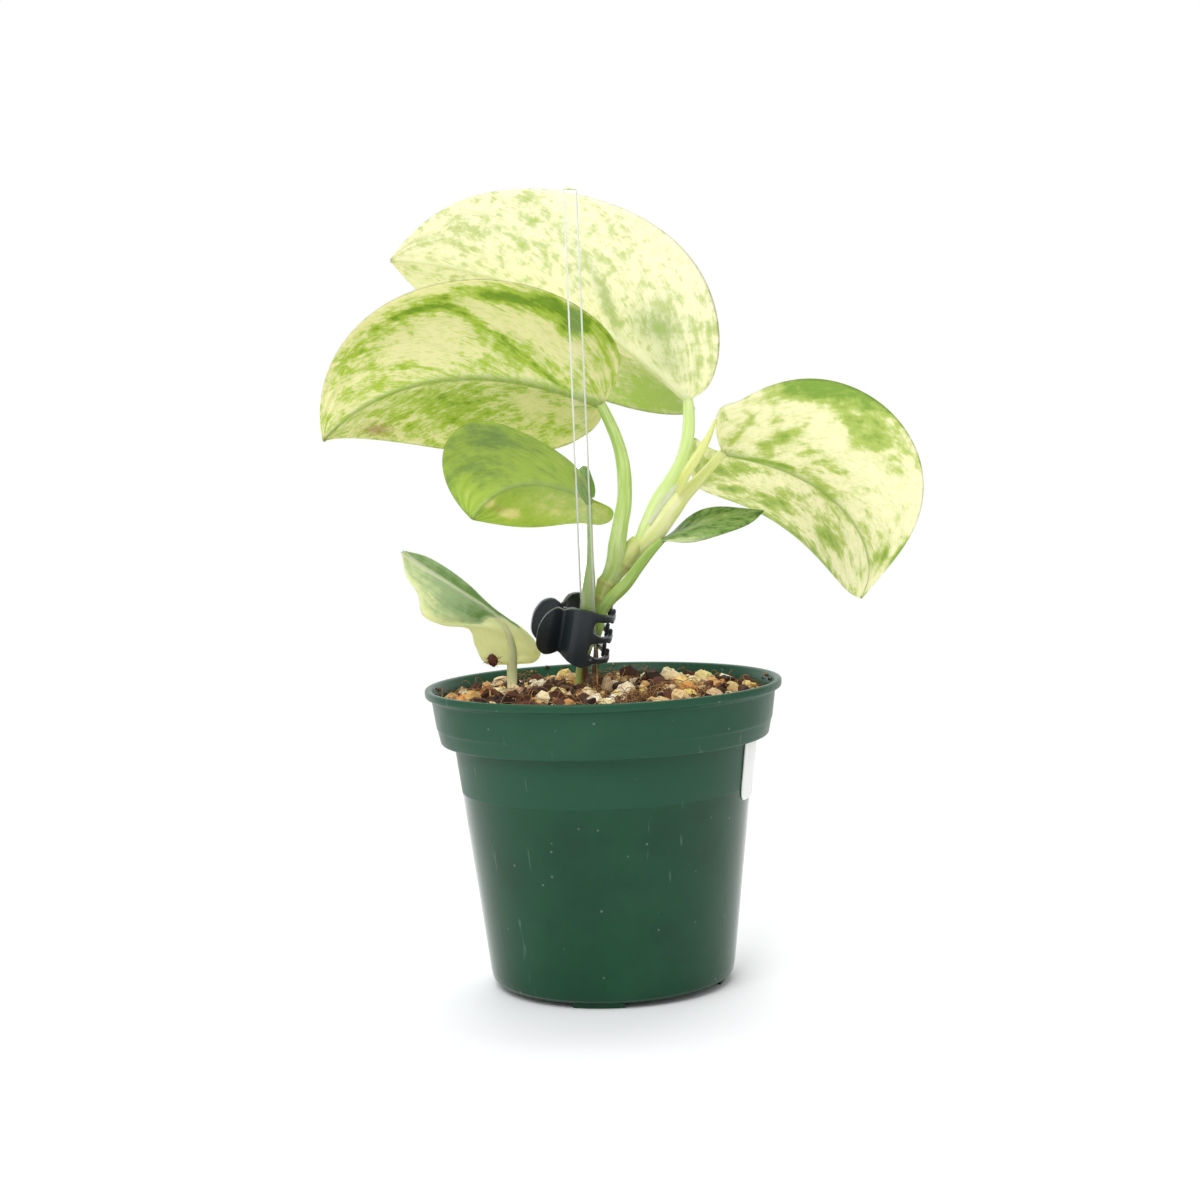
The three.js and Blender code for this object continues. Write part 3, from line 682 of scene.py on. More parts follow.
def marbling_group() -> NodeTree:
    """Masks of a marbled blade from two numbers that its points carry.

    Course stays the same along a side vein, and Reach is the way run along it, with a sign for the
    half of the blade. Noise drawn out along the veins and soft clouds over Point are added to the
    tone; the sum over one half is green, and well over it dark green.

    Returns:
        The group.
    """
    sockets = {"Point": None, "Course": 0.0, "Reach": 0.0, "Tone": 0.5, "Seed": 0.0}
    sockets |= {"Streaks": 24.0, "Rag": 1.0, "Cloud": 1.0, "Spots": 330.0}
    tree, n, given = new_group("Marbling", sockets, ("Green", "Dark", "Mottle"))
    along = n.math("MULTIPLY", given.outputs["Course"], given.outputs["Streaks"])
    across = n.math("ABSOLUTE", given.outputs["Reach"])
    half = n.math("MULTIPLY", n.math("GREATER_THAN", given.outputs["Reach"], 0.0), 3.7)
    seed = n.math("ADD", given.outputs["Seed"], half)

    def field_of(run: float, spread: float, shift: float, detail: float) -> NodeSocket:
        """Noise from -0.5 to 0.5, finer along by run and across by spread; shift chooses another."""
        run_along = n.math("MULTIPLY", along, run)
        run_across = n.math("MULTIPLY", across, spread)
        vector = n.add("CombineXYZ", {0: run_along, 1: run_across, 2: n.math("ADD", seed, shift)})
        return n.math("SUBTRACT", n.noise(vector.outputs[0], 1.0, detail, 0.6), 0.5)

    streak = n.math("MULTIPLY", field_of(1.0, 4.6, 0.0, 4.0), 1.4)
    fleck = n.math("MULTIPLY", field_of(2.6, 14.0, 5.0, 6.0), 1.5)
    broad = n.math("MULTIPLY", field_of(0.35, 1.9, 9.0, 3.0), 0.9)
    ragged = n.math("ADD", n.math("ADD", streak, fleck), broad)
    level = n.math("ADD", given.outputs["Tone"], n.math("MULTIPLY", ragged, given.outputs["Rag"]))
    mottle = n.math("ADD", field_of(3.2, 20.0, 13.0, 6.0), 0.5)
    cloud = n.math("SUBTRACT", n.noise(given.outputs["Point"], given.outputs["Spots"], 5.0, 0.62), 0.5)
    level = n.math("ADD", level, n.math("MULTIPLY", cloud, given.outputs["Cloud"]))
    masks = {"Green": n.step(level, 0.24, 0.72), "Dark": n.step(level, 0.72, 1.1), "Mottle": mottle}
    n.add("NodeGroupOutput", masks)
    return tree


def grain_group() -> NodeTree:
    """Fine unevenness over a point: fine noise, cloudy patches and sparse specks, one cell in ten.

    Returns:
        The group.
    """
    tree, n, given = new_group("Grain", {"Point": None, "Scale": 900.0}, ("Fine", "Cloud", "Speck"))
    point, scale = given.outputs["Point"], given.outputs["Scale"]
    fine = n.noise(point, scale, 5.0, 0.65)
    cloud = n.noise(point, n.math("MULTIPLY", scale, 0.06), 3.0, 0.5)
    cell_scale = n.math("MULTIPLY", scale, 0.35)
    cells = n.add("TexVoronoi", {"Vector": point, "Scale": cell_scale, "Randomness": 1.0})
    chosen = n.math("GREATER_THAN", n.add("SeparateColor", {0: cells.outputs["Color"]}).outputs[0], 0.9)
    speck = n.math("MULTIPLY", n.step(cells.outputs["Distance"], 0.18, 0.08), chosen)
    n.add("NodeGroupOutput", {"Fine": fine, "Cloud": cloud, "Speck": speck})
    return tree


class Shared:
    """The node groups that several finishes use, built once."""

    marbling: NodeTree
    grain: NodeTree

    @classmethod
    def build(cls) -> None:
        """Makes the groups."""
        cls.marbling = marbling_group()
        cls.grain = grain_group()


@dataclass(frozen=True)
class Finish:
    """A plain finish with grain, cloudy colour and dust.

    Attributes:
        name: Name of the material.
        color: Main colour, 0xRRGGBB.
        second: Colour of the cloudy patches.
        roughness: Roughness of the surface.
        bump: Depth of the grain, in metres.
        scale: Grains per metre.
        dust: Strength of the pale specks.
        metal: Metallic weight.
        glow: Share of light let through, for thin tissue.
    """

    name: str
    color: int
    second: int
    roughness: float = 0.5
    bump: float = 0.0001
    scale: float = 900.0
    dust: float = 0.0
    metal: float = 0.0
    glow: float = 0.0

    def make(self) -> Material:
        """Builds the material.

        Returns:
            The material.
        """
        material, n = material_nodes(self.name)
        grain = n.grain(self.scale)
        color = n.mix(n.step(grain.outputs["Cloud"], 0.35, 0.68), linear(self.color), linear(self.second))
        if self.dust > 0:
            color = n.mix(n.math("MULTIPLY", grain.outputs["Speck"], self.dust), color, linear(DUST))
        smooth, matte = self.roughness * 0.85, min(self.roughness * 1.15, 1.0)
        rough = n.step(grain.outputs["Cloud"], 0.3, 0.7, smooth, matte)
        normal = n.bump(grain.outputs["Fine"], self.bump)
        inputs = {"Base Color": color, "Roughness": rough, "Metallic": self.metal, "Normal": normal}
        n.finish(inputs, self.glow)
        return material


@dataclass(frozen=True)
class PelletFinish:
    """Loose crumbs and stones, each coloured by the tone that it carries.

    Attributes:
        name: Name of the material.
        colors: Colours for tones from 0 to 1, 0xRRGGBB.
        shade: Strength of the dark pores.
        rust: Strength of the rusty patches.
        roughness: Roughness of the surface.
        bump: Depth of the grain, in metres.
        scale: Grains per metre.
    """

    name: str
    colors: tuple[int, ...]
    shade: float = 0.7
    rust: float = 0.0
    roughness: float = 0.9
    bump: float = 0.00025
    scale: float = 1500.0

    def make(self) -> Material:
        """Builds the material.

        Returns:
            The material.
        """
        material, n = material_nodes(self.name)
        grain = n.grain(self.scale)
        ramp = n.add("ValToRGB", {"Fac": n.value("tone")})
        elements = ramp.color_ramp.elements
        for i, code in enumerate(self.colors):
            place = i / max(len(self.colors) - 1, 1)
            element = elements[i] if i < 2 else elements.new(place)
            element.position = place
            element.color = linear(code)
        shade = n.step(grain.outputs["Fine"], 0.35, 0.75, 0.0, self.shade)
        color = n.mix(shade, ramp.outputs[0], linear(PEAT_SHADE), "MULTIPLY")
        rusty = n.step(n.noise(n.object_point(), 620.0, 3.0, 0.7), 0.48, 0.64, 0.0, self.rust)
        color = n.mix(rusty, color, linear(RUST), "MULTIPLY")
        normal = n.bump(grain.outputs["Fine"], self.bump)
        n.finish({"Base Color": color, "Roughness": self.roughness, "Normal": normal})
        return material


@dataclass(frozen=True)
class BladeFinish:
    """Variegated leaf tissue, lit through from behind.

    Attributes:
        name: Name of the material.
        cream: Colour without green, 0xRRGGBB.
        green: Colour of the green tissue.
        dark: Colour of the deepest green.
        vein: Colour of the midrib and side veins.
        seed: Chooses the marbling.
        streaks: Streaks from base to tip.
        rag: How ragged the patches are along the veins.
        cloud: How cloudy they are.
        spots: Clouds per metre.
        freckles: Strength of the green freckles in the cream.
        stain: Colour of the blade's stains, such as scars, and of its patches of painted shade.
        bloom: Strength of the pale bloom underneath.
        roughness: Roughness of both faces.
        glow: Share of light let through.
        scale: Grains per metre.
    """

    name: str
    cream: int = 0xFBF8D4
    green: int = 0xC3D655
    dark: int = 0x8CAE14
    vein: int = 0xA9C060
    seed: float = 0.0
    streaks: float = 24.0
    rag: float = 1.0
    cloud: float = 1.0
    spots: float = 330.0
    freckles: float = 0.42
    stain: int = 0xB98A6A
    bloom: float = 0.08
    roughness: float = 0.38
    glow: float = 0.5
    scale: float = 1400.0

    def make(self) -> Material:
        """Builds the material: cream, then green, dark green, freckles, veins, bloom, and stains and painted
        shade over it.

        Returns:
            The material.
        """
        material, n = material_nodes(self.name)
        carried = {"Course": n.value("course"), "Reach": n.value("reach"), "Tone": n.value("tone")}
        chosen = {"Seed": self.seed, "Streaks": self.streaks, "Rag": self.rag}
        chosen |= {"Cloud": self.cloud, "Spots": self.spots}
        marbling = n.group(Shared.marbling, {"Point": n.object_point(), **carried, **chosen})
        grain = n.grain(self.scale)
        color = n.mix(marbling.outputs["Green"], linear(self.cream), linear(self.green))
        color = n.mix(marbling.outputs["Dark"], color, linear(self.dark))
        freckle = n.step(marbling.outputs["Mottle"], 0.47, 0.68, 0.0, self.freckles)
        color = n.mix(freckle, color, linear(self.green))
        color = n.mix(n.math("MULTIPLY", n.value("vein"), 0.7), color, linear(self.vein))
        color = n.mix(n.math("MULTIPLY", n.value("under"), self.bloom), color, linear(LEAF_BLOOM))
        # Real stains such as scars, and on the upper blade broad patches of painted shade
        color = n.mix(n.value("stain"), color, linear(self.stain))
        normal = n.bump(grain.outputs["Fine"], 0.0001, 0.6)
        rough = n.step(grain.outputs["Cloud"], 0.3, 0.7, self.roughness - 0.05, self.roughness + 0.1)
        inputs = {"Base Color": color, "Roughness": rough, "Normal": normal, "Specular IOR Level": 0.3}
        n.finish(inputs, self.glow, n.mix(0.35, color, linear(LIT_LEAF), "MULTIPLY"))
        return material


@dataclass(frozen=True)
class StalkFinish:
    """Waxy stalk tissue with stripes along it and brown rings.

    Attributes:
        name: Name of the material.
        color: Main colour, 0xRRGGBB.
        stripe: Colour of the stripes.
        ring: Colour of the rings.
        glow: Share of light let through.
        roughness: Roughness of the surface.
        scale: Grains per metre.
    """

    name: str
    color: int
    stripe: int
    ring: int = 0x8E6A42
    glow: float = 0.3
    roughness: float = 0.42
    scale: float = 1300.0

    def make(self) -> Material:
        """Builds the material; the stripes are noise over the angle round the stalk, drawn out along it.

        Returns:
            The material.
        """
        material, n = material_nodes(self.name)
        along = n.math("MULTIPLY", n.value("along"), 0.05)
        place = n.add("CombineXYZ", {0: n.value("round_x"), 1: n.value("round_y"), 2: along}).outputs[0]
        grain = n.grain(self.scale)
        stripes = n.step(n.noise(place, 1.7, 3.0, 0.5), 0.3, 0.68)
        color = n.mix(stripes, linear(self.color), linear(self.stripe))
        blotch = n.step(n.noise(n.object_point(), 260.0, 4.0, 0.6), 0.5, 0.7, 0.0, 0.35)
        color = n.mix(blotch, color, linear(self.color))
        color = n.mix(n.math("MULTIPLY", n.value("ring"), 0.75), color, linear(self.ring))
        normal = n.bump(grain.outputs["Fine"], 0.00006)
        rough = n.step(grain.outputs["Cloud"], 0.3, 0.7, self.roughness - 0.06, self.roughness + 0.08)
        inputs = {"Base Color": color, "Roughness": rough, "Normal": normal, "Specular IOR Level": 0.35}
        n.finish(inputs, self.glow)
        return material


@dataclass(frozen=True)
class ClearFinish:
    """Clear plastic whose faces are a little uneven.

    Attributes:
        name: Name of the material.
        roughness: Roughness of the surface.
        index: Index of refraction.
        wave: Depth of the unevenness, in metres.
        scale: Grains per metre.
    """

    name: str = "clear_acrylic"
    roughness: float = 0.04
    index: float = 1.49
    wave: float = 0.0001
    scale: float = 300.0

    def make(self) -> Material:
        """Builds the material.

        Returns:
            The material.
        """
        material, n = material_nodes(self.name)
        normal = n.bump(n.grain(self.scale).outputs["Cloud"], self.wave, 0.25)
        inputs = {"Base Color": (1.0, 1.0, 1.0, 1.0), "Roughness": self.roughness, "IOR": self.index}
        n.finish({**inputs, "Transmission Weight": 1.0, "Normal": normal})
        return material


@dataclass(frozen=True)
class PotFinish:
    """Dark plastic, matte above a line and glossy below it, with scratches, rubbed patches and dust.

    Colours are 0xRRGGBB. The matte part begins between two heights, which are in metres, as is the bump.
    """

    name: str = "pot_green"
    color: int = 0x0D3D26
    second: int = 0x10442B
    matte_color: int = 0x1B4B34
    rubbed: int = 0x4A7259
    scratched: int = 0x86A08E
    dust: int = 0xC7CFC4
    matte_from: float = 0.0565
    matte_to: float = 0.0572
    matte_roughness: float = 0.3
    bump: float = 0.00006
    scale: float = 1100.0

    def make(self) -> Material:
        """Builds the material; scratches are noise drawn out up the pot.

        Returns:
            The material.
        """
        material, n = material_nodes(self.name)
        point = n.object_point()
        grain = n.grain(self.scale)
        drawn = {"Vector": point, "Scale": (260.0, 260.0, 14.0), "Rotation": (0.5, 0.3, 0.0)}
        lines = n.step(n.noise(n.add("Mapping", drawn).outputs[0], 1.0, 3.0, 0.7), 0.66, 0.74, 0.0, 0.5)
        smear = n.step(n.noise(point, 26.0, 4.0, 0.6), 0.5, 0.8, 0.0, 0.12)
        height = n.add("SeparateXYZ", {0: point}).outputs[2]
        matte = n.step(height, self.matte_from, self.matte_to)
        color = n.mix(n.step(grain.outputs["Cloud"], 0.3, 0.7), linear(self.color), linear(self.second))
        color = n.mix(matte, color, linear(self.matte_color))
        color = n.mix(smear, color, linear(self.rubbed))
        color = n.mix(n.math("MULTIPLY", lines, 0.5), color, linear(self.scratched))
        color = n.mix(n.math("MULTIPLY", grain.outputs["Speck"], 0.16), color, linear(self.dust))
        polish = n.math("ADD", n.step(grain.outputs["Cloud"], 0.3, 0.7, 0.1, 0.16), smear)
        rough = n.math("ADD", polish, n.math("MULTIPLY", matte, self.matte_roughness))
        relief = n.math("MULTIPLY", grain.outputs["Fine"], n.step(matte, 0.0, 1.0, 0.08, 1.0))
        normal = n.bump(relief, self.bump, 0.35)
        n.finish({"Base Color": color, "Roughness": rough, "Normal": normal, "Specular IOR Level": 0.25})
        return material


# The holder


@dataclass
class Pot:
    """Moulded nursery pot: tapered body, collar, out-turned rim, feet and drain slots."""

    rim_radius: float = 51.0
    rim_z: float = 86.5
    lip_z: float = 84.2
    collar_top_radius: float = 49.2
    kink_radius: float = 47.8
    kink_z: float = 75.1
    collar_radius: float = 46.9
    shelf_z: float = 70.8
    body_top_radius: float = 43.2
    body_base_radius: float = 34.8
    floor_z: float = 1.5
    wall: float = 1.4
    foot_width: float = 14.5
    foot_radius: float = 32.4
    foot_depth: float = 3.5
    foot_turn: float = -98.0
    feet: int = 4
    slots: int = 6
    slot_radius: float = 1.75
    slot_reach: float = 2.75
    slot_circle: float = 19.0
    pad_radius: float = 6.0
    segments: int = 200

    def radius_at(self, z: float | Array) -> float | Array:
        """Outer radius of the tapered body at a height."""
        rise = (z - self.floor_z) / (self.shelf_z - self.floor_z)
        return self.body_base_radius + (self.body_top_radius - self.body_base_radius) * rise

    def profile(self) -> Array:
        """Radius and height from under the floor, up the outside, over the rim and down the inside.

        Returns:
            Rows of radius and height, corners rounded.
        """
        floor, wall = self.floor_z, self.wall
        outside = [
            (0, floor), (33.2, floor), (34.7, floor + 1.1), (self.radius_at(5.0), 5.0),
            (self.body_top_radius, self.shelf_z), (self.collar_radius, self.shelf_z),
            (self.kink_radius, self.kink_z), (self.kink_radius + 0.25, self.kink_z + 0.3),
            (self.collar_top_radius, self.lip_z - 0.4), (self.rim_radius - 0.3, self.lip_z),
            (self.rim_radius, self.lip_z + 0.6), (self.rim_radius, self.rim_z),
        ]
        inside = [
            (self.collar_top_radius + 0.1, self.rim_z), (self.collar_top_radius - 1.1, self.lip_z - 0.4),
            (self.kink_radius - wall, self.kink_z), (self.collar_radius - wall, self.shelf_z + wall),
            (self.body_top_radius - wall, self.shelf_z + wall), (self.radius_at(5.0) - wall, 5.0),
            (32.4, floor + wall), (0, floor + wall),
        ]
        return rounded([*outside, *inside], 0.7)

    def foot(self, turn: float) -> Surface:
        """A short block on the floor's edge: arcs of two radii joined at their ends.

        Args:
            turn: Its angle round the pot.

        Returns:
            The block.
        """
        spread = self.foot_width / self.foot_radius / 2
        outer = np.linspace(-spread, spread, 14) + turn
        inner = np.linspace(spread, -spread, 14) * 0.92 + turn
        radii = np.repeat([self.foot_radius, self.foot_radius - self.foot_depth], 14)
        angle = np.concatenate([outer, inner])
        outline = np.column_stack([radii * np.cos(angle), radii * np.sin(angle)])
        return prism(outline, 0.0, self.floor_z + 0.4)

    def slot(self, turn: float) -> Surface:
        """The cutter of one drain slot: two half circles joined by straight sides, along a radius.

        Args:
            turn: Its angle round the floor.

        Returns:
            The cutter.
        """
        a = np.linspace(-math.pi / 2, math.pi / 2, 10)
        reach = np.repeat([self.slot_reach, -self.slot_reach], 10)
        angle = np.concatenate([a, a + math.pi])
        x = self.slot_circle + reach + self.slot_radius * np.cos(angle)
        y = self.slot_radius * np.sin(angle)
        c, s = math.cos(turn), math.sin(turn)
        outline = np.column_stack([x * c - y * s, x * s + y * c])
        return prism(outline, -1.0, self.floor_z + self.wall + 1.0)

    def build(self) -> Object:
        """Turns the body, adds feet and pad, and cuts the slots.

        Returns:
            The piece.
        """
        pot = shown("pot_shell", lathe(self.profile(), self.segments))
        angle = np.linspace(0, 2 * math.pi, 48, endpoint=False)
        pad = np.column_stack([np.cos(angle), np.sin(angle)]) * self.pad_radius
        turns = math.radians(self.foot_turn) + 2 * math.pi * np.arange(self.feet) / self.feet
        blocks = [self.foot(turn) for turn in turns] + [prism(pad, 0.0, self.floor_z + 0.4)]
        slots = [self.slot(2 * math.pi * i / self.slots) for i in range(self.slots)]
        for operation, solids in (("UNION", blocks), ("DIFFERENCE", slots)):
            tool = shown("tool", joined(solids))
            cut = pot.modifiers.new("cut", "BOOLEAN")
            cut.operation = operation
            cut.object = tool
            cut.solver = "EXACT"
            settle(pot)
            bpy.data.objects.remove(tool)
        pot.data.shade_smooth()
        pot.data.set_sharp_from_angle(angle=math.radians(38))
        return add_piece(pot, PotFinish().make(), ["pot"])


@dataclass
class Label:
    """Blank sticker bent round the body, lower corners rounded."""

    pot: Pot
    first: float = -26.0
    last: float = 30.0
    bottom: float = 53.5
    top: float = 69.8
    lift: float = 0.15
    thickness: float = 0.3
    corner: float = 3.0
    steps: int = 96

    def build(self) -> Object:
        """Sections across the sticker, one for each angle: under, over, and two edges.

        Returns:
            The piece.
        """
        angle = np.radians(np.linspace(self.first, self.last, self.steps))
        half = (angle[-1] - angle[0]) / 2 * self.pot.radius_at(self.bottom)
        edge = half * (1 - np.abs(np.linspace(-1, 1, self.steps)))
        drop = np.maximum(self.corner - edge, 0)
        low = self.bottom + self.corner - np.sqrt(np.maximum(self.corner**2 - drop**2, 0))
        share = np.linspace(0, 1, 12)
        height = low[:, None] + (self.top - low)[:, None] * share
        heights = np.concatenate([height, height[:, ::-1]], 1)
        lift = np.repeat([self.lift, self.lift + self.thickness], 12)
        r = self.pot.radius_at(heights) + lift
        rings = np.stack([r * np.cos(angle)[:, None], r * np.sin(angle)[:, None], heights], -1)
        finish = Finish("label_paper", 0xF5F5F1, 0xECECE6, roughness=0.62, bump=0.00003, dust=0.2)
        made = shown("label_sticker", loft(rings), 40)
        return add_piece(made, finish.make(), ["label"])


@dataclass(frozen=True)
class Rocks:
    """A sort of loose stone in the mix: how many, how big in millimetres, and of which colours."""

    name: str
    slot: str
    count: int
    size: tuple[float, float]
    stretch: tuple[float, float]
    colors: tuple[int, ...]
    seed: int
    cuts: int = 2
    lift: float = 0.3
    shade: float = 0.42
    rust: float = 0.45


GRAVEL_COLORS = (0xFFF6D6, 0xF4E0A8, 0xE2BC84, 0xE09A4C, 0xFCEA9A, 0xC08850, 0xFFF8DC, 0xE2C498, 0xF6DA78)
BARK_COLORS = (0x241611, 0x46281B, 0x633A27, 0x2E1B14)
ROCKS = (
    Rocks("fine_gravel", "pumice", 210, (0.8, 1.7), (0.7, 1.25), GRAVEL_COLORS, 31),
    Rocks("coarse_gravel", "pumice", 52, (1.8, 2.9), (0.7, 1.2), GRAVEL_COLORS, 32, cuts=3, lift=0.32),
    Rocks("bark_bits", "bark", 130, (1.0, 2.4), (0.45, 1.5), BARK_COLORS, 33, lift=0.4, shade=0.6, rust=0.0),
)


@dataclass
class PottingMix:
    """Peat with crumbs, coir fibres and bigger lumps, heaped a little in the middle."""

    pot: Pot
    edge_z: float = 82.0
    dome: float = 1.6
    waves: float = 0.6
    gap: float = 0.3
    crumbs: int = 2600
    stuck: int = 90
    fibres: int = 230
    reach: float = 46.4

    def height(self, x: Array, y: Array) -> Array:
        """Height of the mix: a low dome with gentle swells."""
        heap = self.dome * (1 - (x**2 + y**2) / self.pot.collar_radius**2)
        swell = np.sin(x / 5.1 + 1) * np.cos(y / 6.3) + 0.4 * np.sin((x + y) / 3.7)
        return self.edge_z + heap + self.waves * swell

    def body(self) -> Surface:
        """Rings up the side and over the top, the top raised by fine clods.

        Returns:
            The closed surface.
        """
        inset = self.pot.wall + self.gap
        shelf = self.pot.shelf_z + inset
        side = [
            (31.8, self.pot.floor_z + inset), (self.pot.radius_at(4.6) - inset, 4.6),
            (self.pot.radius_at(shelf) - inset, shelf), (self.pot.collar_radius - inset, shelf),
            (self.pot.kink_radius - inset, self.pot.kink_z),
        ]
        a = np.linspace(0, 2 * math.pi, 240, endpoint=False)
        rings = [np.stack([r * np.cos(a), r * np.sin(a), np.full(240, z)], -1) for r, z in side]
        for r in np.linspace(self.pot.kink_radius - inset + 1.2, 0.6, 84):
            x, y = r * np.cos(a), r * np.sin(a)
            flat = np.stack([x, y, 0 * x], -1)
            clods = 0.5 * bumps(flat, 3.2, 4) + 0.28 * bumps(flat, 1.3, 5)
            rings.append(np.stack([x, y, self.height(x, y) + clods], -1))
        return loft(np.stack(rings))

    def spots(self, count: int, rng: np.random.Generator, size: float | Array = 0.0) -> Array:
        """Random places over the mix, more of them towards the wall, kept off it by their size.

        Args:
            count: How many.
            rng: Source of the draws.
            size: Sizes of what lies there.

        Returns:
            Rows x, y, z.
        """
        r = (self.reach - size) * rng.uniform(0, 1, count) ** 0.45
        a = rng.uniform(0, 2 * math.pi, count)
        x, y = r * np.cos(a), r * np.sin(a)
        return np.stack([x, y, self.height(x, y)], -1)

    def crumb_field(self) -> Surface:
        """Small twelve-cornered grains, each squashed, turned and set half into the mix.

        Returns:
            The grains, each with its tone.
        """
        rng = np.random.default_rng(11)
        corners, faces = icosahedron()
        place = self.spots(self.crumbs, rng)
        size = 0.45 + 1.25 * rng.uniform(0, 1, self.crumbs) ** 3
        size[: self.stuck] = rng.uniform(0.3, 0.65, self.stuck)
        stretch = rng.uniform(0.6, 1.35, (self.crumbs, 1, 3)) * size[:, None, None]
        turn = random_turns(self.crumbs, rng)
        jitter = rng.uniform(0.82, 1.18, (self.crumbs, 12, 1))
        points = (corners * jitter * stretch) @ turn + place[:, None] + [0, 0, 0.25]
        stuck = self.wall_spots(rng)
        points[: len(stuck)] += (stuck - place[: len(stuck)])[:, None]
        index = faces[None] + 12 * np.arange(self.crumbs)[:, None, None]
        tone = rng.uniform(0, 1, self.crumbs) ** 1.7
        return Surface(points.reshape(-1, 3), [index.reshape(-1, 3)], {"tone": np.repeat(tone, 12)})

    def wall_spots(self, rng: np.random.Generator) -> Array:
        """Places of the crumbs that stick to the collar's inner wall.

        Args:
            rng: Source of the draws.

        Returns:
            Rows x, y, z.
        """
        a = rng.uniform(0, 2 * math.pi, self.stuck)
        z = self.edge_z + rng.uniform(0, 1, self.stuck) ** 1.6 * 4.0
        r = self.reach + 1.1 + (z - self.edge_z) * 0.25
        return np.stack([r * np.cos(a), r * np.sin(a), z], -1)

    def stones(self, rocks: Rocks) -> Surface:
        """Loose stones set half into the mix: balls cut by random planes, stretched and turned.

        Args:
            rocks: Their sort.

        Returns:
            The stones, each with its tone.
        """
        rng = np.random.default_rng(rocks.seed)
        direction, faces = cube_ball(rocks.cuts)
        normals = unit(rng.normal(size=(rocks.count, 9, 3)))
        facing = np.einsum("pk,snk->spn", direction, normals) / rng.uniform(0.62, 1.0, (rocks.count, 1, 9))
        radius = np.minimum((np.maximum(facing, 0.05) ** 20).sum(-1) ** (-1 / 20), 1.25)
        radius *= 1 + rng.uniform(-0.1, 0.1, radius.shape)
        size = rng.uniform(*rocks.size, rocks.count)
        stretch = rng.uniform(*rocks.stretch, (rocks.count, 1, 3)) * size[:, None, None]
        turn = random_turns(rocks.count, rng)
        place = self.spots(rocks.count, rng, size)
        place[:, 2] += size * rocks.lift
        points = (direction * radius[..., None] * stretch) @ turn + place[:, None]
        index = faces[None] + len(direction) * np.arange(rocks.count)[:, None, None]
        tone = np.repeat(rng.uniform(0, 1, rocks.count), len(direction))
        return Surface(points.reshape(-1, 3), [index.reshape(-1, 4)], {"tone": tone})

    def fibre_field(self) -> Surface:
        """Coir fibres: thin arcs that leave the mix, rise and come back to it, a third of them in a tuft.

        Returns:
            The fibres, each with its tone.
        """
        rng = np.random.default_rng(23)
        parts = []
        places = self.spots(self.fibres, rng)
        tuft = rng.normal(size=(self.fibres // 3, 2)) * (9, 6) + (6, -22)
        places[: len(tuft), :2] = tuft
        for place in places:
            length = rng.uniform(5, 17)
            heading = rng.uniform(0, 2 * math.pi)
            bend = rng.uniform(-0.8, 0.8)
            w = np.linspace(0, 1, 12)
            turn = heading + bend * w
            step = np.stack([np.cos(turn), np.sin(turn)], -1) * length / 12
            xy = place[:2] + np.cumsum(step, 0)
            xy *= np.minimum(1, self.reach / np.maximum(np.linalg.norm(xy, axis=1), 1e-6))[:, None]
            rise = rng.uniform(1.2, 4.2) * 4 * w * (1 - w)
            path = np.column_stack([xy, self.height(xy[:, 0], xy[:, 1]) + 0.2 + rise])
            radius = rng.uniform(0.07, 0.14) * (1 - 0.5 * np.abs(2 * w - 1))
            fibre = tube(path, radius, sides=5, reference=(0, 0, 1))
            parts.append(fibre.toned(rng.uniform(0.15, 0.75)))
        return joined(parts)

    def arcs(self) -> Surface:
        """The three longer strands that stand over the middle clod."""
        routes = [
            [(-5.2, 1.5, 83.4), (-2.6, 1.0, 86.6), (1.5, 0.5, 88.2), (5.0, 0.2, 86.6), (7.6, 0.0, 83.4)],
            [(3.6, 3.0, 83.6), (4.9, 3.6, 86.4), (6.2, 4.2, 88.6), (6.6, 4.6, 89.4)],
            [(-14.8, 6.0, 83.6), (-12.6, 6.6, 85.8), (-9.2, 7.6, 86.2), (-7.0, 9.0, 83.8)],
        ]
        paths = [smooth_path(np.array(route), 24) for route in routes]
        return joined([tube(path, np.linspace(0.2, 0.12, 25), sides=6).toned(0.5) for path in paths])

    def build(self) -> list[Object]:
        """Makes the body, its crumbs and its fibres.

        Returns:
            These three pieces.
        """
        peat = Finish("peat", 0x241812, 0x3B2A20, roughness=0.92, bump=0.0005, scale=1300.0, dust=0.12)
        made = shown("mix_body", self.body())
        crumbs = shown("mix_crumbs", self.crumb_field(), 25)
        shades = (0x20150F, 0x3F2B1E, 0x68442C, 0x8A603C, 0xB4844E, 0xDEB878)
        fibres = shown("coir_fibres", joined([self.fibre_field(), self.arcs()]))
        for rocks in ROCKS:
            loose = shown(rocks.name, self.stones(rocks), 32)
            finish = PelletFinish(rocks.name, rocks.colors, rocks.shade, rocks.rust)
            add_piece(loose, finish.make())
        return [
            add_piece(made, peat.make(), ["potting_mix"]),
            add_piece(crumbs, PelletFinish("crumbs", shades).make()),
            add_piece(fibres, PelletFinish("coir", (0x6A4528, 0xA87A48, 0xCDA268)).make()),
        ]


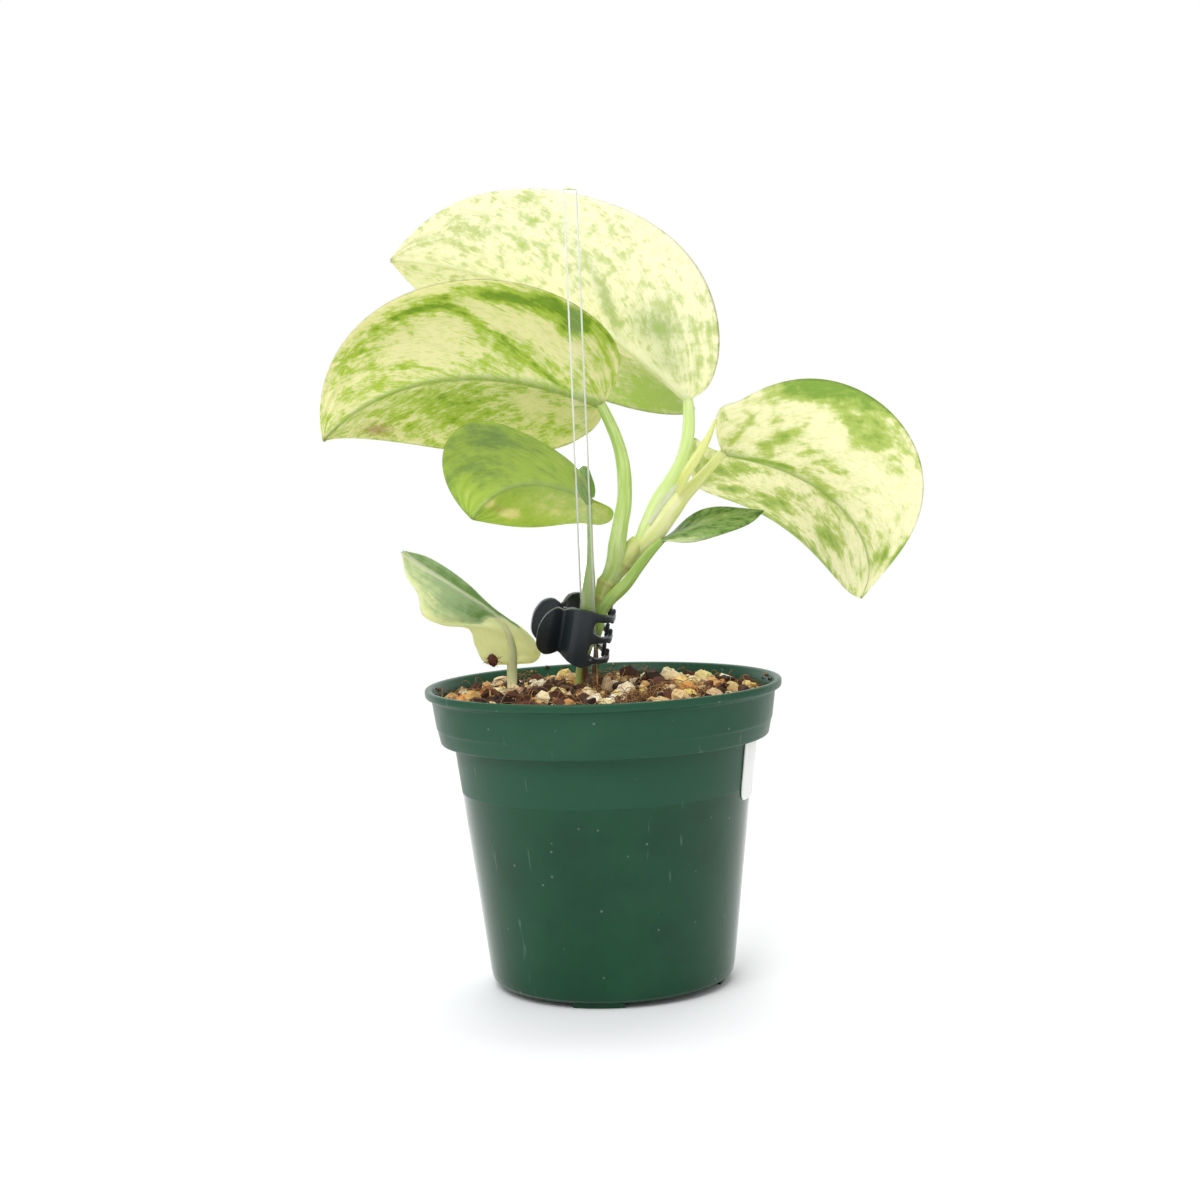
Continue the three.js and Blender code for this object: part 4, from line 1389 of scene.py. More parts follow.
@dataclass
class Lumps:
    """The coarse pieces on the mix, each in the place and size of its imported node."""

    bark: tuple[str, ...] = ("bark_chip_1", "bark_chip_2", "bark_chip_3")
    clods: tuple[str, ...] = ("peat_clod_1", "peat_clod_2")
    perlite: tuple[str, ...] = ("perlite_1", "perlite_2")
    crumb_place: Point = (-31.5, 3.0, 93.6)
    crumb_size: Point = (1.3, 0.9, 1.9)
    hair_shift: Point = (0, -0.6, 0)
    husk_bore: float = 0.66
    pumice_colors: tuple[int, ...] = (
        0xF3EBD2, 0xD89A58, 0xE0C59C, 0xE8CC60, 0xECDA90, 0xF5E6AE,
        0xE6CEA2, 0xF3E7A0, 0xDFC79C, 0xEEDD96, 0xF3E9C8, 0xE8C257,
    )

    def rock(self, node: str, finish: Finish, seed: int, planes: int, rough: float) -> Object:
        """One stone fitted to its node.

        Args:
            node: The node.
            finish: The stone's look.
            seed: Seed of its shape.
            planes: Planes that cut it.
            rough: Height of its unevenness.

        Returns:
            The piece.
        """
        surface = fitted(stone(seed, planes, rough=rough), node)
        made = shown(f"{node}_rock", surface)
        return add_piece(made, finish.make(), [node])

    def husk(self) -> Object:
        """A strip of husk curled almost into a ring: a C-shaped band swept along its width.

        Returns:
            The piece.
        """
        a = np.radians(np.linspace(30, 350, 48))
        arc = np.stack([np.cos(a), np.sin(a)], -1)
        outline = np.concatenate([arc, self.husk_bore * arc[::-1]])
        depth = np.linspace(-1, 1, 9)[:, None] + 0 * outline[:, 0]
        swell = 1 - 0.12 * depth**2
        rings = np.stack([outline[:, 0] * swell, depth, outline[:, 1] * swell], -1)
        surface = fitted(loft(rings), "curled_husk")
        made = shown("husk_curl", surface, 50)
        finish = Finish("husk_tan", 0xB98A5C, 0xD6B184, roughness=0.8, bump=0.0003, scale=1800.0)
        return add_piece(made, finish.make(), ["curled_husk"])

    def stuck_crumb(self) -> None:
        """The bark crumb with a few fibres that hangs on the old leaf's flap."""
        surface = stone(91, 12, rough=0.1)
        surface.points = surface.points * self.crumb_size + self.crumb_place
        made = shown("flap_crumb", surface)
        add_piece(made, Finish("crumb_bark", 0x4A231A, 0x6B3A28, 0.85, 0.0004, 1700.0).make())
        rng = np.random.default_rng(92)
        hairs = []
        middle = np.array(self.crumb_place) + self.hair_shift
        w = np.linspace(-1, 1, 10)[:, None]
        for _ in range(7):
            heading = unit(rng.normal(size=3) * (1, 0.2, 0.7))
            sag = np.array([0, 0, rng.uniform(-1.2, 1.2)])
            reach = rng.uniform(1.8, 3.6)
            path = middle + heading * w * reach + sag * w**2
            hairs.append(tube(path, np.full(10, 0.06), sides=5, reference=(0, 0.3, 1)).toned(0.6))
        made = shown("flap_fibres", joined(hairs))
        add_piece(made, PelletFinish("flap_coir", (0x6B4427, 0xA87A48)).make())

    def build(self) -> None:
        """Makes every lump."""
        for i, node in enumerate(self.bark):
            finish = Finish(f"bark_{i}", (0x2E1B14, 0x33211A, 0x4C2A1E)[i], 0x5A3526, 0.8, 0.0004, 1600.0)
            self.rock(node, finish, 40 + i, 9, 0.07)
        orange = Finish("bark_orange", 0xA65A24, 0xC9792F, 0.75, 0.0004, 1600.0)
        self.rock("bark_chip_4", orange, 44, 9, 0.07)
        for i, node in enumerate(self.clods):
            finish = Finish(f"clod_{i}", (0x261811, 0x443024)[i], 0x5D4331, 0.95, 0.0008, 1500.0)
            self.rock(node, finish, 50 + i, 22, 0.16)
        for i, code in enumerate(self.pumice_colors):
            finish = Finish(f"pumice_{i + 1}_stone", code, 0xD5B684, 0.85, 0.0004, 1700.0, dust=0.3)
            self.rock(f"pumice_{i + 1}", finish, 60 + i, 15, 0.06)
        for i, node in enumerate(self.perlite):
            finish = Finish(f"perlite_{i}", 0xF5F4F0, 0xDEDCD4, 0.8, 0.0003, 1500.0)
            self.rock(node, finish, 80 + i, 30, 0.06)
        self.husk()
        self.stuck_crumb()


# Stake and clip


@dataclass
class Stake:
    """Clear square rod, leaning a little, with thin pale strips over its narrow bevels as painted highlights
    along its edges.
    """

    side: float = 4.0
    bottom: float = 12.0
    top: float = 226.0
    x: float = -3.6
    y: float = -2.8
    lean: float = -0.35
    bevel: float = 0.45
    glint_strip: float = 0.05
    glint_from: float = 98.0

    def raised(self, section: Array, levels: Sequence[tuple[float, float]]) -> Surface:
        """A section carried up the leaning rod: at each level a height from its middle and a growth.

        Args:
            section: Rows x, y.
            levels: The heights and growths.

        Returns:
            The closed surface.
        """
        rings = np.stack([np.column_stack([section * grow, np.full(len(section), z)]) for z, grow in levels])
        turn = math.radians(self.lean)
        x = rings[..., 0] * math.cos(turn) + rings[..., 2] * math.sin(turn)
        z = rings[..., 2] * math.cos(turn) - rings[..., 0] * math.sin(turn)
        return loft(np.stack([x + self.x, rings[..., 1] + self.y, z + (self.top + self.bottom) / 2], -1))

    def build(self) -> list[Object]:
        """Makes the rod with bevelled ends, and a thin pale strip over each of its four bevels, a painted
        highlight along that edge.

        Returns:
            Both pieces.
        """
        half, cut = self.side / 2, self.side / 2 - self.bevel
        corners = [(half, cut), (cut, half), (-cut, half), (-half, cut)]
        section = np.array(corners + [(-x, -y) for x, y in corners])
        length = (self.top - self.bottom) / 2
        shrink = 1 - self.bevel / half
        end = length - self.bevel
        levels = [(-length, shrink), (-end, 1.0), (end, 1.0), (length, shrink)]
        rod = shown("stake_rod", self.raised(section, levels), 20)
        # Thin pale strips over the bevels, from a given height to the top end: painted highlights for the
        # light and grey lines along the clear rod's edges
        ends = [(self.glint_from - self.bottom - length, 1.0), (end, 1.0)]
        strips = []
        for a, b in zip(section[::2], section[1::2]):
            out = unit(a + b) * self.glint_strip
            strips.append(self.raised(np.array([a, b, b + out, a + out]), ends))
        glint_edges = shown("stake_painted_glint_edges", joined(strips))
        glint_strip = Finish("painted_edge_glint", 0xFAFCF4, 0xEEF3E6, roughness=0.5, bump=0.00002, glow=0.35)
        return [
            add_piece(rod, ClearFinish().make(), ["stake"]),
            add_piece(glint_edges, glint_strip.make()),
        ]


@dataclass
class ClawClip:
    """Small black claw clip: two jaws with toothed fingers on a steel pin with a torsion spring."""

    position: Point = (-11.5, 0.5, 100.5)
    lean: tuple[float, float] = (10.0, 11.0)
    pin_radius: float = 0.6
    pin_from: float = -3.9
    pin_to: float = 8.1
    spring_radius: float = 1.5
    wire_radius: float = 0.25
    spring_top: float = 3.6
    spring_turns: float = 3.4
    spring_pitch: float = 0.9

    def placed(self, surface: Surface) -> Surface:
        """A surface moved from the hinge's own frame, pin along Z, to its place on the plant.

        Args:
            surface: The surface.

        Returns:
            The same surface, moved.
        """
        a, b = (math.radians(angle) for angle in self.lean)
        about_x = np.array([[1, 0, 0], [0, math.cos(a), -math.sin(a)], [0, math.sin(a), math.cos(a)]])
        about_y = np.array([[math.cos(b), 0, math.sin(b)], [0, 1, 0], [-math.sin(b), 0, math.cos(b)]])
        surface.points = surface.points @ (about_x @ about_y).T + self.position
        return surface

    def jaw(self, node: str, name: str, material: Material, body: Body) -> Object:
        """A moulded copy of a packed jaw: corners merged, edges rounded.

        Args:
            node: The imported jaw.
            name: Name of the piece.
            material: Its material.
            body: The body that it rides on.

        Returns:
            The piece.
        """
        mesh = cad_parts[node].data.copy()
        made = object_of(name, mesh)
        weld = made.modifiers.new("weld", "WELD")
        weld.merge_threshold = 0.000002
        bevel = made.modifiers.new("bevel", "BEVEL")
        bevel.width = 0.00022
        bevel.segments = 3
        bevel.limit_method = "ANGLE"
        bevel.angle_limit = math.radians(42)
        settle(made)
        made.data.shade_smooth()
        made.data.set_sharp_from_angle(angle=math.radians(40))
        return add_piece(made, material, [node], body)

    def build(self) -> None:
        """Makes both jaws, the pin and the spring."""
        black = Finish("clip_black", 0x1C2427, 0x22292D, roughness=0.37, bump=0.00003, dust=0.25).make()
        self.jaw("clip_front_jaw", "front_jaw_moulding", black, Body.FRONT_JAW)
        self.jaw("clip_rear_jaw", "rear_jaw_moulding", black, Body.PLANT)
        steel = Finish("spring_steel", 0xB9BDC1, 0x8E9296, roughness=0.28, bump=0.00001, metal=1.0).make()
        ends = [(0, 0.9), (0.08, 1.0), (0.92, 1.0), (1, 0.9)]
        axis = np.array([[0, 0, self.pin_from + share * (self.pin_to - self.pin_from)] for share, _ in ends])
        pin = tube(axis, self.pin_radius * np.array([grow for _, grow in ends]), sides=28)
        made = shown("pin_rod", self.placed(pin), 40)
        add_piece(made, steel, ["clip_pin"])
        w = np.linspace(0, 1, 180)
        a = math.radians(59) - 2 * math.pi * self.spring_turns * w
        height = self.spring_top - self.spring_pitch * self.spring_turns * w
        coil = np.stack([self.spring_radius * np.cos(a), self.spring_radius * np.sin(a), height], -1)
        first, last = [(-4.4, 3.4, self.spring_top)], [(-4.8, -1.8, coil[-1, 2])]
        wire = np.concatenate([first, coil, last])
        spring = tube(wire, np.full(len(wire), self.wire_radius), sides=10, reference=(0, 0, 1))
        made = shown("spring_wire", self.placed(spring))
        add_piece(made, steel, ["clip_spring"])


# The plant


@dataclass
class Stem:
    """A stem, stalk or root.

    Attributes:
        path: Points x, y, z and radius along it.
        flat: Depth over width of its section.
        slot: The record's material slot; not used.
        finish: Its look.
        ribs: Ridges round the section.
        rings: Places along it, from 0 to 1, of the rings that old leaves left.
        steps: Rings of its surface, less one.
        sides: Points of each ring.
        ridge: Height of a rib, as a share of the radius.
        uneven: Height of its unevenness, as a share of the radius.
        swell: How far the stem swells at a ring.
        neck: How far it draws in above one.
    """

    path: tuple[tuple[float, float, float, float], ...]
    flat: float
    slot: str
    finish: Finish | StalkFinish
    ribs: int = 0
    rings: tuple[float, ...] = ()
    steps: int = 150
    sides: int = 32
    ridge: float = 0.035
    uneven: float = 0.03
    swell: float = 0.2
    neck: float = 0.12

    def build(self, name: str, nodes: Sequence[str] = ()) -> Object:
        """Carries the section along the path.

        The radius is the path's, with a bell for each ring, times one plus a ripple over the angle.

        Args:
            name: Name of the piece.
            nodes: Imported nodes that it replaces.

        Returns:
            The piece.
        """
        given = np.array(self.path)
        centre = smooth_path(given[:, :3], self.steps)
        radius = smooth_path(given[:, 3:], self.steps, even=True)
        place = np.linspace(0, 1, self.steps + 1)[:, None]
        for ring in self.rings:
            above = self.neck * bell(place - ring - 0.03, 0.02)
            radius = radius + self.swell * bell(place - ring, 0.012) - above
        angle = np.linspace(0, 2 * math.pi, self.sides, endpoint=False)
        ripple = self.ridge * np.cos(self.ribs * angle) if self.ribs else 0 * angle
        uneven = self.uneven * bumps(centre, 7.0, 3)[:, None]
        surface = tube(centre, radius * (1 + ripple + uneven), self.flat, self.sides)
        length = np.linalg.norm(np.diff(centre, axis=0), axis=1)
        along = np.concatenate([[0], np.cumsum(length)])[:, None]
        mark = sum((bell(place - ring, 0.014) for ring in self.rings), 0 * place)
        mark = mark * (0.35 + 0.65 * np.abs(np.cos(angle)) ** 8)
        carried = {"round_x": np.cos(angle), "round_y": np.sin(angle), "along": along, "ring": mark}
        shape = (self.steps + 1, self.sides)
        surface.values = {key: with_poles(np.broadcast_to(grid, shape)) for key, grid in carried.items()}
        made = shown(name, surface)
        return add_piece(made, self.finish.make(), nodes)


@dataclass(frozen=True)
class Patch:
    """A patch on a blade: its middle (phi, v), its reach each way, and how much greener it is.

    A slanted patch leans forward by its slant in phi for each unit of v, as the side veins do.
    """

    phi: float
    v: float
    long: float
    wide: float
    weight: float
    slant: float = 0.0

    def strength(self, phi: Array, v: Array) -> Array:
        """A bell over phi and v.

        Args:
            phi: Places from stalk to tip.
            v: Places across.

        Returns:
            How much greener each place is.
        """
        lean = self.slant * (np.abs(v) - abs(self.v))
        along, across = (phi - self.phi - lean) / self.long, (v - self.v) / self.wide
        return self.weight * np.exp(-(along**2) - across**2)


@dataclass(frozen=True)
class Streak:
    """A narrow green band along a line of points (phi, v) on a blade."""

    line: tuple[tuple[float, float], ...]
    width: float
    weight: float

    def strength(self, phi: Array, v: Array) -> Array:
        """A bell over the distance to the line, in which v counts ACROSS_SCALE as much as phi.

        Args:
            phi: Places from stalk to tip.
            v: Places across.

        Returns:
            How much greener each place is.
        """
        points = np.stack([phi, ACROSS_SCALE * v], -1)
        knots = np.array(self.line) * (1, ACROSS_SCALE)
        nearest = np.full(phi.shape, np.inf)
        for a, b in zip(knots, knots[1:]):
            share = np.clip((points - a) @ (b - a) / ((b - a) @ (b - a)), 0, 1)
            nearest = np.minimum(nearest, np.linalg.norm(points - a - share[..., None] * (b - a), axis=-1))
        return self.weight * bell(nearest, self.width)


@dataclass
class Blade:
    """A leaf blade: a heart outline on a midrib that bends as it grows.

    phi runs from the stalk (0) to the tip (1) along the side veins' feet, v from the midrib (0) to
    the left edge (1) or the right edge (-1). Angles are in degrees, and pairs are left and right.

    Attributes:
        base, yaw, pitch, roll: Where the midrib begins, its heading and climb, the blade's turn about it.
        droop, sweep, twist: How far it bends down and to the left, and turns, on its way.
        lobe, heel, belly: Reach and fullness of the lobes behind the stalk; where the blade is broadest.
        fold, curl: How far each half is raised at the midrib, and turns down again to its edge.
        ear: How far the lobes stand up.
        tone, marks, stains_and_shades: How green it is, where it is greener or paler, and where it is dulled
            by stains and by painted shade.
        drip: How far the tip is drawn in.
        bends, rows, columns: Straight parts of the midrib, rings, and points on a quarter of a ring.
    """

    base: Point
    yaw: float
    pitch: float
    roll: float
    length: float
    droop: float
    sweep: float
    twist: float
    width: tuple[float, float]
    lobe: tuple[float, float]
    fold: tuple[float, float]
    curl: tuple[float, float]
    belly: float
    heel: float
    ear: float
    slot: str
    finish: BladeFinish
    tone: float = 0.5
    marks: tuple[Patch | Streak, ...] = ()
    stains_and_shades: tuple[Patch, ...] = ()
    veins: int = 9
    thickness: float = 0.36
    drip: float = 0.35
    bends: int = 48
    rows: int = 170
    columns: int = 46
    midrib: float = 1.0
    side_veins: float = 0.15
    first: float = 0.006
    last: float = 0.996
    quilting: float = 0.16
    flutter: float = 0.9

    def frames(self) -> tuple[Array, Array, Array, Array]:
        """Points of the midrib with their forward, leftward and upward directions.

        Returns:
            Four arrays with a row for each bend.
        """
        yaw, pitch, roll = (math.radians(angle) for angle in (self.yaw, self.pitch, self.roll))
        t = np.array([math.cos(pitch) * math.cos(yaw), math.cos(pitch) * math.sin(yaw), math.sin(pitch)])
        s = turned(np.array([-math.sin(yaw), math.cos(yaw), 0.0]), t, roll)
        n = np.cross(t, s)
        point = np.array(self.base, float)
        rows = [(point, t, s, n)]
        for i in range(self.bends):
            growth = 2 * (i + 0.5) / self.bends
            turns = (
                (t, math.radians(self.twist) / self.bends * growth),
                (n, math.radians(self.sweep) / self.bends),
                (s, math.radians(self.droop) / self.bends * growth),
            )
            after = [t, s, n]
            for axis, angle in turns:
                after = [turned(vector, axis, angle) for vector in after]
            point = point + self.length / self.bends * (t + after[0]) / 2
            t, s, n = after
            rows.append((point, t, s, n))
        return tuple(np.array([row[k] for row in rows]) for k in range(4))

    def outline(self, half: Half, phi: Array) -> Array:
        """Half of the heart outline: a cubic from the stalk to the tip, drawn in near the tip.

        Args:
            half: Which half.
            phi: Places from stalk to tip.

        Returns:
            Rows along, out.
        """
        w, lobe = self.width[half.value], self.lobe[half.value]
        shoulder = [-2.2 * lobe, w * self.heel]
        flank = [self.length * self.belly, w * (2.6 - self.heel)]
        p = np.array([[0, 0], shoulder, flank, [self.length, 0]])
        q = phi[..., None]
        curve = (1 - q) ** 3 * p[0] + 3 * q * (1 - q) ** 2 * p[1] + 3 * q**2 * (1 - q) * p[2] + q**3 * p[3]
        curve[..., 1] *= 1 - self.drip * phi**10
        return curve

    def place(self, half: Half, phi: Array, v: Array, lift: Array) -> Array:
        """Points of the blade, lifted off its middle surface towards the upper face.

        A point lies v of the way from its foot on the midrib to the outline. Across the blade the
        surface starts at the fold angle and turns evenly by the curl angle to the edge.

        Args:
            half: Which half.
            phi: Place from stalk to tip.
            v: Place from midrib to edge, 0 to 1.
            lift: Height over the middle surface.

        Returns:
            Points of the same array shape.
        """
        points, forward, left, up = self.frames()
        edge = self.outline(half, phi)
        along = (1 - v) * self.length * phi**1.15 + v * edge[..., 0]
        out = v * edge[..., 1]
        held = np.clip(along, 0, self.length)
        knots = np.linspace(0, self.length, len(points))
        p, t, s, n = (
            np.stack([np.interp(held, knots, table[:, k]) for k in range(3)], -1)
            for table in (points, forward, left, up)
        )
        p = p + (along - held)[..., None] * t
        p = p + (self.ear * (np.minimum(along, 0) / 8) ** 2)[..., None] * n
        fold = math.radians(self.fold[half.value])
        curl = math.radians(self.curl[half.value]) / self.width[half.value]
        slope = fold - curl * out
        across = (math.sin(fold) - np.sin(slope)) / curl - lift * np.sin(slope)
        rise = (np.cos(slope) - math.cos(fold)) / curl + lift * np.cos(slope)
        return p + half.sign * across[..., None] * s + rise[..., None] * n

    def vein_field(self, phi: Array, v: Array) -> tuple[Array, Array, Array]:
        """Strength of the midrib and of the side veins, and the quilting between the veins.

        Side veins leave the midrib at even steps of phi and bend far forward as they run out.

        Args:
            phi: Places from stalk to tip.
            v: Places across.

        Returns:
            The three fields.
        """
        out = np.abs(v)
        width = self.outline(Half.LEFT, phi)[..., 1] * out
        rib = bell(width, 1.5 - 1.1 * phi)
        run = phi - VEIN_REACH * out**VEIN_BEND
        spacing = 1.2 / self.veins
        nearest = (run / spacing + 0.5) % 1 - 0.5
        side = bell(nearest * spacing, 0.008) * (1 - out**2) * (phi > 0.03)
        quilt = np.cos(2 * math.pi * nearest) * np.sin(math.pi * out)
        return rib, side, quilt

    def surface(self) -> Surface:
        """Both faces of the blade as rings round it, one for each phi, thin at the edges.

        Returns:
            The closed surface with its values.
        """
        phi = np.linspace(self.first, self.last, self.rows)[:, None]
        spread = np.linspace(1, 0, self.columns) ** 1.35
        v = np.concatenate([spread, -spread[::-1][1:]])
        v = np.concatenate([v, v[::-1][1:-1]])[None]
        top = np.zeros(4 * (self.columns - 1), bool)
        top[: 2 * self.columns - 1] = True
        phi, v = np.broadcast_arrays(phi, v)
        rib, side, quilt = self.vein_field(phi, v)
        taper = np.sqrt(np.maximum(1 - np.abs(v) ** 5, 0))
        body = self.thickness / 2 * taper
        under = body + taper * (self.midrib * rib * (1.1 - phi) + 0.12 * side)
        over = body - taper * (0.3 * self.midrib * rib * (1.1 - phi) + 0.1 * side)
        wave = self.flutter * np.abs(v) ** 3 * np.sin(9.5 * phi + self.yaw) * np.sin(math.pi * phi)
        lift = np.where(top, over, -under) + self.quilting * quilt + wave
        made = loft(np.where((v >= 0)[..., None], *(self.place(half, phi, np.abs(v), lift) for half in Half)))
        half_width = np.where(v >= 0, *(self.outline(half, phi)[..., 1] for half in Half))
        lean = VEIN_REACH * np.abs(v) ** VEIN_BEND * (half_width / max(self.width)) ** 0.6
        values = {
            "tone": sum((mark.strength(phi, v) for mark in self.marks), self.tone + 0 * phi),
            "course": phi - lean,
            "reach": v * np.hypot(half_width, VEIN_REACH * self.length) / VEIN_LENGTH,
            "vein": np.clip(rib + self.side_veins * side, 0, 1),
            "under": np.where(top, 0.0, 1.0) + 0 * phi,
            "stain": sum((stain.strength(phi, v) for stain in self.stains_and_shades), 0 * phi),
        }
        made.values = {key: with_poles(grid) for key, grid in values.items()}
        return made

    def build(self, node: str) -> Object:
        """Makes and dresses the blade."""
        made = shown(f"{node}_blade", self.surface())
        return add_piece(made, self.finish.make(), [node])


def turned(vector: Array, axis: Array, angle: float) -> Array:
    """A vector turned about a unit axis: v cos a + (k x v) sin a + k (k . v)(1 - cos a).

    Args:
        vector: The vector.
        axis: The axis.
        angle: The angle.

    Returns:
        The turned vector.
    """
    return (
        vector * math.cos(angle)
        + np.cross(axis, vector) * math.sin(angle)
        + axis * float(axis @ vector) * (1 - math.cos(angle))
    )


@dataclass
class OldLeaf:
    """The folded old leaf, ruled between its midrib and its two edges."""

    left: tuple[Point, ...] = (
        (-27.6, 7.6, 91.6), (-33.6, 3.4, 92.6), (-36.2, 0.7, 98), (-37.6, -3, 103.2), (-44.6, -7.4, 105.0),
        (-49.8, -12.2, 108.6), (-50.8, -13.4, 114.6), (-53.6, -14.2, 119.6), (-54.6, -15, 125.2),
    )
    midrib: tuple[Point, ...] = (
        (-26.2, 7.3, 92.2), (-25.7, 6, 96.4), (-26.4, 4, 100.5), (-28.8, 1.5, 105), (-31.5, -0.5, 107.8),
        (-40, -6, 114.5), (-50.4, -12.5, 122.6), (-54.8, -15.2, 126.4),
    )
    right: tuple[Point, ...] = (
        (-24.9, 7.9, 91.6), (-19.6, 10, 91.8), (-17.8, 10.5, 94.4), (-21.2, 9.5, 100.4), (-29, 6, 105.9),
        (-37.5, 0, 116), (-47.8, -10, 124.6), (-54.2, -14.8, 127),
    )
    thickness: float = 0.5
    bulge: float = 0.8
    rib_width: float = 0.9
    rib_height: float = 0.5
    ripples: float = 0.12
    green_from: float = 0.36
    green_fade: float = 0.14
    rows: int = 150
    columns: int = 34

    def surface(self) -> Surface:
        """Rings round the blade: from the left edge over the midrib to the right edge and back.

        Between midrib and edge the surface bulges by 4 b v (1 - v).

        Returns:
            The closed surface with its values.
        """
        lines = (self.left, self.midrib, self.right)
        left, middle, right = (smooth_path(np.array(line), self.rows - 1) for line in lines)
        tangent = unit(np.gradient(middle, axis=0))
        span = unit(right - left)
        keel = unit(np.cross(span, tangent))
        share = np.linspace(1, 0, self.columns)
        v = np.concatenate([share, -share[::-1][1:]])
        v = np.concatenate([v, v[::-1][1:-1]])
        top = np.arange(len(v)) < 2 * self.columns - 1
        out = np.abs(v)[None, :, None]
        edge = np.where((v >= 0)[None, :, None], left[:, None], right[:, None])
        normal = unit(np.cross(tangent[:, None], edge - middle[:, None]))
        normal = np.where((v >= 0)[None, :, None], normal, -normal)
        near = np.clip(out * 6, 0, 1)
        normal = unit(normal * near + keel[:, None] * (1 - near))
        phi = np.linspace(0, 1, self.rows)[:, None]
        taper = np.sqrt(np.maximum(1 - np.abs(v) ** 5, 0))
        rib = bell(np.abs(v) * np.linalg.norm(edge - middle[:, None], axis=-1), self.rib_width)
        lift = np.where(top, 1, -1) * (self.thickness / 2 + self.rib_height * rib) * taper
        ripple = self.ripples * np.cos(40 * phi - 6 * np.abs(v)) * np.sin(math.pi * np.abs(v))
        height = lift + ripple + self.bulge * 4 * np.abs(v) * (1 - np.abs(v))
        points = middle[:, None] * (1 - out) + edge * out + normal * height[..., None]
        made = loft(points)
        grid_v = np.broadcast_to(v, rib.shape)
        grid_phi = np.broadcast_to(phi, rib.shape)
        reach = np.abs(grid_v)
        border = self.green_from + 0.05 * np.sin(9 * reach)
        green = np.clip((grid_phi - border) / self.green_fade, 0, 1)
        margin = bell(1 - reach, 0.16)
        inner = bell(reach - 0.2, 0.3) * bell(grid_phi - 0.56, 0.16)
        values = {
            "tone": green * (0.5 + 0.5 * inner - 0.22 * margin + 0.4 * (grid_v < 0)) - 0.45 * (1 - green),
            "course": grid_phi - VEIN_REACH * reach,
            "reach": 0.35 * grid_v,
            "vein": np.clip(rib**3 * 1.6, 0, 1),
            "under": np.where(grid_v > 0, 1.0, 0.2),
            "stain": 0 * grid_phi,
        }
        made.values = {key: with_poles(grid) for key, grid in values.items()}
        return made

    def build(self) -> Object:
        """Makes and dresses the leaf.

        Returns:
            The piece.
        """
        finish = BladeFinish(
            "blade_old", cream=0xFDFFD8, green=0xC2D6AC, dark=0x8CAE66, vein=0xFFFDEE, seed=7.0, streaks=14.0,
            rag=0.3, cloud=0.6, freckles=0.15, bloom=0.0, roughness=0.5, glow=0.55,
        )
        made = shown("leaf_old_blade", self.surface())
        return add_piece(made, finish.make(), ["leaf_old"])


ROOT_BROWN = Finish("root_brown", 0x7A4A2C, 0x54301D, roughness=0.85, bump=0.0002, scale=1800.0)
